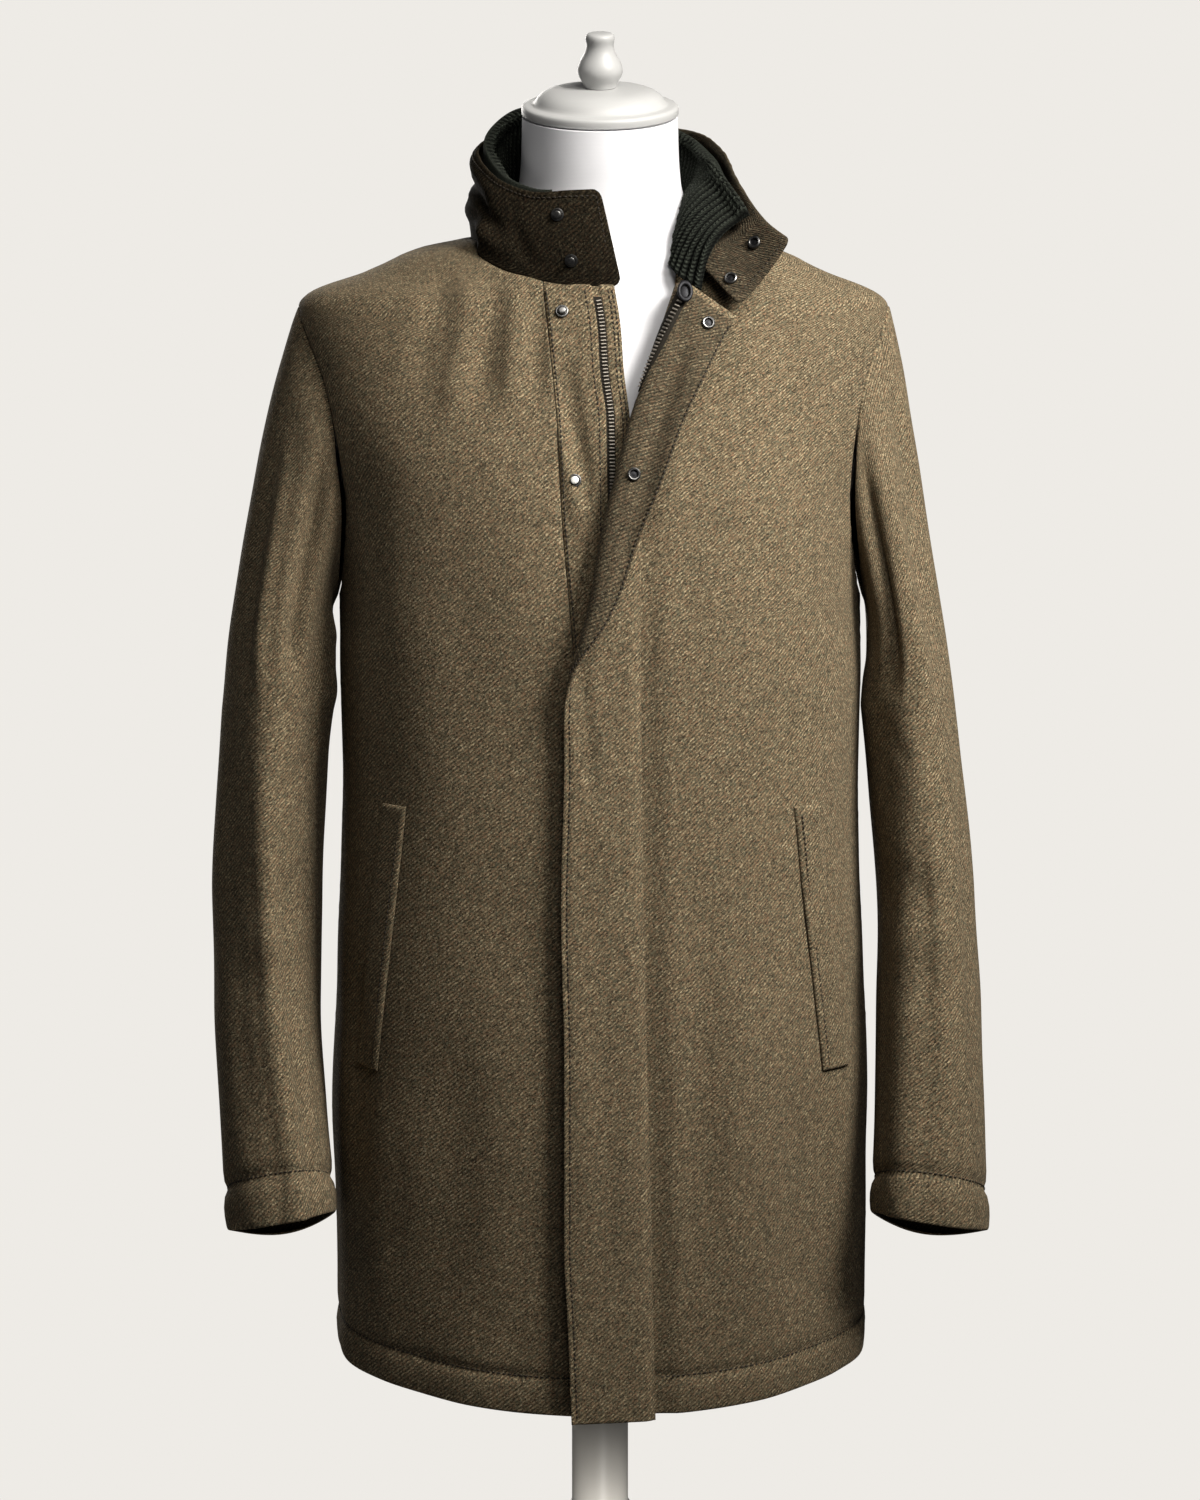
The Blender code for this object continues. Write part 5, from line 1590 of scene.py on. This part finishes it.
BASE_PROFILE = (
    (0.1880, 0.0000), (0.1898, 0.0004), (0.1900, 0.0014), (0.1900, 0.0100), (0.1890, 0.0126),
    (0.1862, 0.0150), (0.1810, 0.0178), (0.1740, 0.0200), (0.1640, 0.0214), (0.1400, 0.0220),
    (0.0500, 0.0220), (0.0, 0.0220),
)
POLE_PROFILE = (
    (0.0330, 0.0221), (0.0345, 0.0228), (0.0348, 0.0250), (0.0340, 0.0290), (0.0300, 0.0325),
    (0.0250, 0.0345), (0.0222, 0.0360), (POLE_RADIUS, 0.0380), (POLE_RADIUS, 0.2500), (POLE_RADIUS, 0.4600),
    (0.0228, 0.4610), (0.0232, 0.4630), (0.0232, 0.4800), (0.0228, 0.4820), (POLE_RADIUS, 0.4830),
    (POLE_RADIUS, 0.6400), (POLE_RADIUS, 0.7850), (0.0200, 0.7990), (0.0, 0.7990),
)


def make_form():
    rings = [FORM_BOTTOM, *np.arange(*FORM_RINGS), *np.linspace(*NECK_RINGS)]
    torso = turn_profile("form_cover", [(1.0, height) for height in rings] + [(0.0, rings[-1])], FORM_COLUMNS)
    verts = np.array([vert.co[:] for vert in torso.data.vertices])
    angle = np.arctan2(verts[:, 0], -verts[:, 1])
    reach = np.hypot(verts[:, 0], verts[:, 1])[:, None]
    middle = points(0.0, 0.0, verts[:, 2])
    placed = form_ring(angle, verts[:, 2])
    placed = np.where(reach > 0.5, placed, middle + np.array((0, -NECK["forward"][-1], 0)))
    torso.data.vertices.foreach_set("co", placed.ravel())
    torso.data.update()
    torso.data.materials.append(jersey_finish())
    torso.data.shade_smooth()
    dress(torso, "white_jersey", "form_torso")

    finishes = {
        "white_paint": paint_finish("white_paint", (0.43, 0.43, 0.425), 0.45, 0.04),
        "pole_enamel": paint_finish("pole_enamel", (0.80, 0.77, 0.72), 0.38, 0.2),
    }
    lean = Matrix.Translation(CAP_CENTRE) @ Matrix.Rotation(CAP_TILT, 4, "X")
    stood = Matrix.Identity(4)
    for name, node, profile, segments, slot, place in (
            ("form_cap_turned", "form_cap", CAP_PROFILE, 96, "white_paint", lean),
            ("form_finial_turned", "form_finial", FINIAL_PROFILE, 64, "white_paint",
             lean @ Matrix.Translation((0, 0, FINIAL_SEAT))),
            ("stand_base_cast", "stand_base", BASE_PROFILE, 128, "pole_enamel", stood),
            ("stand_pole_tube", "stand_pole", POLE_PROFILE, 48, "pole_enamel", stood)):
        piece = turn_profile(name, profile, segments)
        piece.data.transform(place)
        piece.data.materials.append(finishes[slot])
        dress(piece, slot, node)


make_form()


KNIT_RIBS = 84
KNIT_RISE = 0.0026
KNIT_STITCH = 0.0036
KNIT_ROW = 0.0034
KNIT_WALL = 0.0030
YARN_FLECK = 1 / 1100
YARN = (
    (0.10, (0.006, 0.0075, 0.0055)),
    (0.45, (0.017, 0.020, 0.0155)),
    (0.75, (0.042, 0.047, 0.037)),
    (1.00, (0.10, 0.108, 0.088)),
)


def knit_finish():
    """Dark green-grey yarn: fine twisted strands with paler fibres on top, and painted shade and highlight of
    the ribs and loops.
    """
    finish, tree, shader = new_finish("rib_knit", 0.95, Sheen_Weight=0.02, Sheen_Roughness=0.5,
                                      Sheen_Tint=(0.55, 0.60, 0.50, 1.0), Specular_IOR_Level=0.08)
    chart = cloth_chart(tree)
    strand = noise(tree, chart, 900.0, 3.0, (-650, 100), 0.6)
    strands = math_node(tree, "MULTIPLY", (-450, 100), strand, 0.6)
    fleck = flecks(tree, chart, YARN_FLECK, (-450, -150))
    mixed = math_node(tree, "MULTIPLY_ADD", (-300, 0), fleck, 0.45, strands)
    yarn = picked_colour(tree, mixed, YARN, (-120, 0))
    row = bands(tree, chart, bands_per_gap(KNIT_ROW), "Y", (-450, 550), Distortion=1.4, Detail=1.0,
                Detail_Scale=2.0)
    # Painted shade and highlight: the rows of loops scale the colour from 0.08 to 2, and the rib valleys
    # scale it down further.
    painted_loop_shade_and_highlight = ranged(tree, row, 0.08, 2.00, (-280, 550))
    painted_knit_shade = add_node(tree, "Attribute", (-450, 350), attribute_name="painted_knit_shade").outputs["Fac"]
    hollow = ranged(tree, painted_knit_shade, 0.04, 1.10, (-120, 350))
    depth = math_node(tree, "MULTIPLY", (0, 450), hollow, painted_loop_shade_and_highlight)
    colour_surface(tree, shader, scaled(tree, yarn, depth, (120, 150)))
    raise_surface(tree, shader, strand, 0.5, 0.0006)
    return finish


# Edges of the knit along the collar, as shares of the collar's length and height
KNIT_EDGE = {
    "share": (0.08, 0.16, 0.24, 0.32, 0.40, 0.50, 0.58, 0.645, 0.69, 0.74, 0.82, 0.88, 0.96),
    "top": (1.02, 1.06, 1.10, 1.16, 1.22, 1.20, 1.10, 1.02, 0.97, 0.92, 0.88, 0.87, 0.85),
    "bottom": (0.05, 0.05, 0.05, 0.05, 0.05, 0.05, 0.05, 0.05, 0.05, 0.05, -0.02, -0.12, -0.28),
    "lean": (0.0, 0.002, 0.006, 0.008, 0.006, 0.006, 0.010, 0.016, 0.018, 0.018, 0.016, 0.010, 0.004),
}
# Lower edge of the knit's loose end, which rolls against the neck
KNIT_LOOSE = {
    "share": (0.740, 0.780, 0.820, 0.860, 0.900, 0.930, 0.960),
    "x": (0.060, 0.058, 0.056, 0.053, 0.053, 0.059, 0.073),
    "y": (0.010, -0.008, -0.028, -0.052, -0.072, -0.086, -0.097),
    "z": (1.452, 1.450, 1.446, 1.441, 1.433, 1.425, 1.417),
}
KNIT_LOOSE_BULGE = 0.0050
KNIT_CLEAR = 0.0012
KNIT_FREE_FROM = 0.74
KNIT_FREE_RUN = 0.10
KNIT_TALL = 0.080
KNIT_STEP = 0.0013
KNIT_PER_RIB = 8
# The rolled top edge, and slow waves, ripples and a sag of the slack knit
KNIT_ROLL = 0.0046
KNIT_ROLL_AT = 0.005
KNIT_ROLL_WIDTH = 0.009
KNIT_WAVE = 0.0016
KNIT_RIPPLE = 0.0009
KNIT_SAG = 0.0030
KNIT_END_TOP = 0.917
KNIT_END_BOTTOM = 0.960


# Heights of the neck that the knit may touch, and the grid on which the form's reach is worked out
NECK_BAND = (1.390, 1.538)
BAND_ROWS = 75
BAND_TURNS = 241


def clear_of_form(grid):
    """Moves points that lie in the form's neck out until they are just clear of it."""
    heights = np.linspace(*NECK_BAND, BAND_ROWS)
    even = np.linspace(-math.pi, math.pi, BAND_TURNS)
    rings = form_ring(even[None, :], np.broadcast_to(heights[:, None], (BAND_ROWS, BAND_TURNS)))
    bearing = np.unwrap(np.arctan2(rings[..., 0], -rings[..., 1]), axis=1)
    reach = np.hypot(rings[..., 0], rings[..., 1])
    reach = np.array([np.interp(even, b, r, period=math.tau) for b, r in zip(bearing, reach)])
    row = np.clip((grid[..., 2] - heights[0]) / (heights[1] - heights[0]), 0, BAND_ROWS - 1.001)
    column = (np.arctan2(grid[..., 0], -grid[..., 1]) + math.pi) / math.tau * (BAND_TURNS - 1)
    i, j = row.astype(int), np.minimum(column.astype(int), BAND_TURNS - 2)
    s, t = row - i, column - j
    needed = (reach[i, j] * (1 - s) * (1 - t) + reach[i + 1, j] * s * (1 - t)
              + reach[i, j + 1] * (1 - s) * t + reach[i + 1, j + 1] * s * t) + KNIT_CLEAR
    flat = np.hypot(grid[..., 0], grid[..., 1])
    factor = np.where(grid[..., 2] < heights[-1], np.maximum(1.0, needed / flat), 1.0)
    return grid * points(factor, factor, np.ones_like(factor))


def make_knit():
    columns, tall = KNIT_RIBS * KNIT_PER_RIB, KNIT_TALL
    v = (steps(0.0, tall, KNIT_STEP) / tall)[:, None]
    end = KNIT_END_BOTTOM + (KNIT_END_TOP - KNIT_END_BOTTOM) * v
    u = np.broadcast_to(np.linspace(0, 1, columns + 1)[None, :], (len(v), columns + 1))
    share = RIB_START + (end - RIB_START) * u
    v = np.broadcast_to(v, u.shape)
    low, high = Curve(KNIT_EDGE, "bottom", "share")(share), Curve(KNIT_EDGE, "top", "share")(share)
    rise = low + (high - low) * v
    station = collar.stations(share)
    rib = u * KNIT_RIBS
    side = np.where((rib % 1) < 0.5, -1, 1)
    cord = np.abs(np.sin(math.pi * rib)) ** 1.1
    stitches = v * tall / KNIT_STITCH + side * 0.25 + 0.15 * np.sin(u * 40)
    loop = 0.5 + 0.5 * np.cos(math.tau * stitches)
    edge = np.minimum(v, 1 - v) * tall
    raised = KNIT_RISE * cord * (0.55 + 0.45 * loop)
    raised += KNIT_ROLL * bump((1 - v) * tall - KNIT_ROLL_AT, KNIT_ROLL_WIDTH) * (0.4 + 0.6 * loop)
    dip = edge_dip(np.minimum(edge, np.minimum(u, 1 - u) * 0.49), 0.0020)
    slack = KNIT_WAVE * np.sin(u * 23 + 1.3) * np.sin(math.pi * v) + KNIT_RIPPLE * np.sin(u * 61 + 4 * v)
    slack = slack + KNIT_SAG * smooth((u - 0.70) / 0.2) * np.sin(math.pi * v) ** 2
    lean = Curve(KNIT_EDGE, "lean", "share")(share) * (1 - 0.8 * smooth((v - 0.40) / 0.55))
    inside = -WALL - RIB_GAP * 0.7 - lean
    held = lifted(collar.place(station, rise, 0.0), collar.normal(station, rise), inside)
    hem = points(*[Curve(KNIT_LOOSE, axis, "share", flowing_slopes)(share) for axis in "xyz"])
    up = np.expand_dims(v, -1)
    loose = hem * (1 - up) + held[-1:] * up
    free = smooth((share - KNIT_FREE_FROM) / KNIT_FREE_RUN)
    grid = held * (1 - np.expand_dims(free, -1)) + loose * np.expand_dims(free, -1)
    normal = cloth_normals(grid)
    grid = lifted(grid, normal, KNIT_LOOSE_BULGE * free * np.sin(math.pi * v))
    grid = clear_of_form(grid)
    normal = cloth_normals(grid)
    outer = lifted(grid, normal, KNIT_WALL + raised - dip + np.maximum(slack, -0.0008))
    inner = lifted(grid, normal, dip * 0.5)
    piece = sheet_object("coat_rib_collar", outer, inner, (knit_finish(),))
    # Painted shade of the knit for its finish: low in the rib valleys and between loops, an even 0.5 on the
    # inner face.
    painted_knit_shade = cord ** 1.6 * (0.35 + 0.65 * loop)
    point_values(piece, "painted_knit_shade", np.concatenate([painted_knit_shade.ravel(), np.full(u.size, 0.5)]))
    dress(piece, "rib_knit", "rib_collar")


make_knit()


STITCH_PITCH = 0.0040
STITCH_LENGTH = 0.0031
STITCH_THICK = 0.00070
STITCH_FLATNESS = 0.8
# Where the rows run: start, end and count of points
UNDERLAP_STITCHES = (1.10, 1.417, 120)
STRIP_STITCHES = (PLACKET_BOTTOM + 0.004, 1.16, 220)
FACING_STITCHES = (FACING_SPAN[0] + 0.002, FACING_SPAN[1] - 0.002, 120)
WELT_STITCHES = (0.02, 0.98, 60)
CUFF_TURNS = (0, math.tau, 160)
HEM_POINTS = 240
COLLAR_TOP_POINTS = 240
COLLAR_END_POINTS = 24
# Distances from seams and edges, and where the hem's rows begin and end
SEAM_STITCH = 0.0024
SECOND_STITCH = 0.0052
BESIDE_ZIP = 0.0080
HEM_RIGHT_FROM = -0.022
HEM_LEFT_FROM = 0.044
HEM_LEVEL = 0.62
FRONT_HEM_END = 1.50
BACK_HEM_START = 1.64
# How far threads lie above or sink into the cloth
THREAD_ABOVE = 0.00012
HEM_SINK = 0.0014
STRIP_SINK = 0.0003
CUFF_SINK = 0.0023
COLLAR_SINK = 0.0004


def thread_finish():
    finish, tree, shader = new_finish("thread", 0.7, Specular_IOR_Level=0.3)
    twist = noise(tree, object_place(tree), 2200.0, 1.0, (-650, 0))
    stops = ((0.3, (0.007, 0.005, 0.003)), (0.7, (0.026, 0.019, 0.011)))
    colour_surface(tree, shader, picked_colour(tree, twist, stops))
    return finish


def stitch_piece(name, lines, finish):
    """Rows of stitches: each line is points along a surface and the directions out of it there."""
    start_shaping()
    bpy.ops.mesh.primitive_uv_sphere_add(segments=6, ring_count=4, radius=1.0)
    dash = bpy.context.object
    frames = []
    for path, normals in lines:
        lengths = arc_lengths(path, 0)
        marks = np.arange(STITCH_PITCH / 2, lengths[-1], STITCH_PITCH)

        def along(values, shift=0.0):
            return np.stack([np.interp(marks + shift, lengths, column) for column in values.T], axis=1)

        outs = unit(along(normals))
        aheads = unit(along(path, STITCH_LENGTH / 2) - along(path, -STITCH_LENGTH / 2))
        frames.append((along(path), unit(np.cross(aheads, outs)), aheads, outs))
    size = (STITCH_THICK, STITCH_LENGTH / 2, STITCH_THICK * STITCH_FLATNESS)
    verts, faces = stamped(dash, size, *[np.concatenate(column) for column in zip(*frames)])
    bpy.data.objects.remove(dash, do_unlink=True)
    piece = add_piece(name, verts, faces, (finish,))
    piece.data.shade_smooth()
    return dress(piece, "thread")


def path_normals(surface, amount=0.0006):
    """A line on a sheet and its directions out, from a function of how far out the line is lifted."""
    path = surface(0.0)
    return path, unit(surface(amount) - path)


def front_line(across, height, creases, above=0.0):
    seat = front_seat(creases, across, height) + THREAD_ABOVE + above
    return path_normals(lambda lift: front_point(across, height, seat + lift))


def hem_line(start, end, creases):
    """The hem's stitching between two angles."""
    angle = np.linspace(start, end, HEM_POINTS)
    height = row_height(HEM + HEM_STITCH, angle)
    seat = cloth_seat(creases, *body_point(angle, height).T) - HEM_SINK
    return path_normals(lambda lift: body_point(angle, height, seat + lift))


def strip_line(height, from_edge):
    """A line on the outer side of the fly strip."""
    along = placket_width(height) - from_edge
    seat = STRIP_WALL / 2 - STRIP_SINK + strip_lump(along, height)
    return path_normals(lambda lift: placket_point(height, along, seat + lift))


def facing_line(height, from_edge):
    """A line on the turned-out facing."""
    along = placket_width(height) - from_edge
    seat = FACING_SEAT - TRIM_WALL - facing_wave(along, height)
    return path_normals(lambda lift: placket_point(height, along, seat - lift))


def cuff_line(side):
    sleeve = Sleeve(side)
    turn = np.linspace(*CUFF_TURNS)
    along = np.full_like(turn, 2 - CUFF_STITCH / SLEEVE_LENGTH)
    creases = crease_lift(CREASES_SLEEVE[side], sleeve_around(turn), along * SLEEVE_LENGTH)
    seat = sleeve.fold(turn, along) + creases - CUFF_SINK
    plain, normal = sleeve.surface(turn, along), sleeve.normal(turn, along)
    return path_normals(lambda lift: lifted(plain, normal, seat + lift))


def collar_line(face):
    low = COLLAR_STITCH / COLLAR_TALL
    inset = COLLAR_STITCH / collar.length
    up = np.linspace(low, 1 - low, COLLAR_END_POINTS)
    top = np.linspace(inset, 1 - inset, COLLAR_TOP_POINTS)
    share = np.concatenate([np.full_like(up, inset), top, np.full_like(up, 1 - inset)])
    rise = np.concatenate([up, np.full_like(top, 1 - low), up[::-1]])
    lump = crease_lift(CREASES_COLLAR, share * collar.length, rise * COLLAR_TALL)
    seat = lump - COLLAR_SINK if face > 0 else lump * 0.7 - WALL
    station = collar.stations(share)
    return path_normals(lambda lift: collar.place(station, rise, seat + face * lift))


def make_stitches():
    thread = thread_finish()
    strip = Curve(STRIP_SEAM, "across")
    upper = np.linspace(*UNDERLAP_STITCHES)
    guard = GUARD_ACROSS(upper)
    edges = []
    beside_zip = guard - ZIP_FROM_GUARD - BESIDE_ZIP
    for across in (strip(upper) + SEAM_STITCH, beside_zip, guard - SEAM_STITCH, guard - SECOND_STITCH):
        edges.append(front_line(across, upper, CREASES_UNDERLAP, zip_lip(across, upper)))
    stitch_piece("stitches_underlap", edges, thread)
    edge = strip_line(np.linspace(*STRIP_STITCHES), EDGE_STITCH)
    turned = facing_line(np.linspace(*FACING_STITCHES), SEAM_STITCH)
    stitch_piece("stitches_placket", [edge, turned], thread)
    stitch_piece("stitches_hem", [
        hem_line(-FRONT_HEM_END, front_angle(HEM_RIGHT_FROM, HEM_LEVEL), CREASES_FRONT_RIGHT),
        hem_line(front_angle(HEM_LEFT_FROM, HEM_LEVEL), FRONT_HEM_END, CREASES_FRONT_LEFT),
        hem_line(BACK_HEM_START, math.tau - BACK_HEM_START, CREASES_BACK)], thread)
    stitch_piece("stitches_cuffs", [cuff_line("right"), cuff_line("left")], thread)
    stitch_piece("stitches_collar", [collar_line(1), collar_line(-1)], thread)
    lines = []
    for sign, creases in ((-1, CREASES_FRONT_RIGHT), (1, CREASES_FRONT_LEFT)):
        across, height = welt_line(np.linspace(*WELT_STITCHES))
        lines.append(front_line(sign * (across + WELT_STITCH), height, creases, WELT_SEAT + WELT_WALL))
    stitch_piece("stitches_pockets", lines, thread)


make_stitches()


# Camera, floor and studio light
CAMERA_PLACE = (0.0, -3.6, 1.65)
CAMERA_TILT = math.radians(80.8)
CAMERA_LENS = 116.7
FLOOR_RADIUS = 1.3
FLOOR_DROP = 0.0005
FLOOR_COLOUR = (0.80, 0.78, 0.74, 1.0)
BACKDROP = (0.855, 0.831, 0.791, 1.0)
SKY = (0.94, 0.96, 1.0, 1.0)
AMBIENT = 0.045
WARM = (1.0, 0.97, 0.92)
LIGHTS = rows(
    "name place target size watts spread",
    ("key", (1.20, -1.02, 2.50), (0.07, 0.0, 1.18), 0.8, 8.0, 44),
    ("front", (0.30, -1.40, 2.63), (0.08, 0.0, 1.18), 0.7, 1.2, 42),
    ("back", (-0.70, 2.30, 1.55), (0.0, 0.0, 1.15), 1.2, 5.0, 60),
    ("left", (-2.10, -0.10, 1.60), (0.0, 0.0, 1.20), 0.8, 0.25, 50),
    ("low", (0.25, -1.20, 0.36), (0.0, 0.0, 0.36), 0.1, 0.35, 15),
)


def add_light(row):
    data = bpy.data.lights.new(row["name"], "AREA")
    data.shape = "RECTANGLE"
    data.size = data.size_y = row["size"]
    data.energy = row["watts"]
    data.spread = math.radians(row["spread"])
    data.color = WARM
    made = bpy.data.objects.new(row["name"], data)
    bpy.context.scene.collection.objects.link(made)
    made.visible_camera = False
    made.location = row["place"]
    made.rotation_euler = (Vector(row["target"]) - made.location).to_track_quat("-Z", "Y").to_euler()


def make_stage():
    scene = bpy.context.scene
    data = bpy.data.cameras.new("photo_view")
    data.lens = CAMERA_LENS
    data.sensor_width = 36.0
    camera = bpy.data.objects.new("photo_view", data)
    scene.collection.objects.link(camera)
    camera.location = CAMERA_PLACE
    camera.rotation_euler = (CAMERA_TILT, 0.0, 0.0)
    scene.camera = camera
    scene.view_settings.view_transform = "Standard"
    bpy.ops.mesh.primitive_circle_add(vertices=96, radius=FLOOR_RADIUS, fill_type="NGON",
                                      location=(0, 0, -FLOOR_DROP))
    floor = bpy.context.object
    floor.name = "floor"
    floor.data.materials.append(new_finish("pale_floor", 0.9, Base_Color=FLOOR_COLOUR)[0])
    world = bpy.data.worlds.new("studio")
    scene.world = world
    world.use_nodes = True
    tree = world.node_tree
    seen = tree.nodes["Background"]
    seen.inputs["Color"].default_value = BACKDROP
    glow = add_node(tree, "Background", (0, -200), {"Color": SKY, "Strength": AMBIENT})
    path = add_node(tree, "LightPath", (-300, 200))
    choice = add_node(tree, "MixShader", (250, 0), {"Fac": path.outputs["Is Camera Ray"]})
    tree.links.new(glow.outputs[0], choice.inputs[1])
    tree.links.new(seen.outputs[0], choice.inputs[2])
    tree.links.new(choice.outputs[0], tree.nodes["World Output"].inputs["Surface"])
    for row in LIGHTS:
        add_light(row)


make_stage()
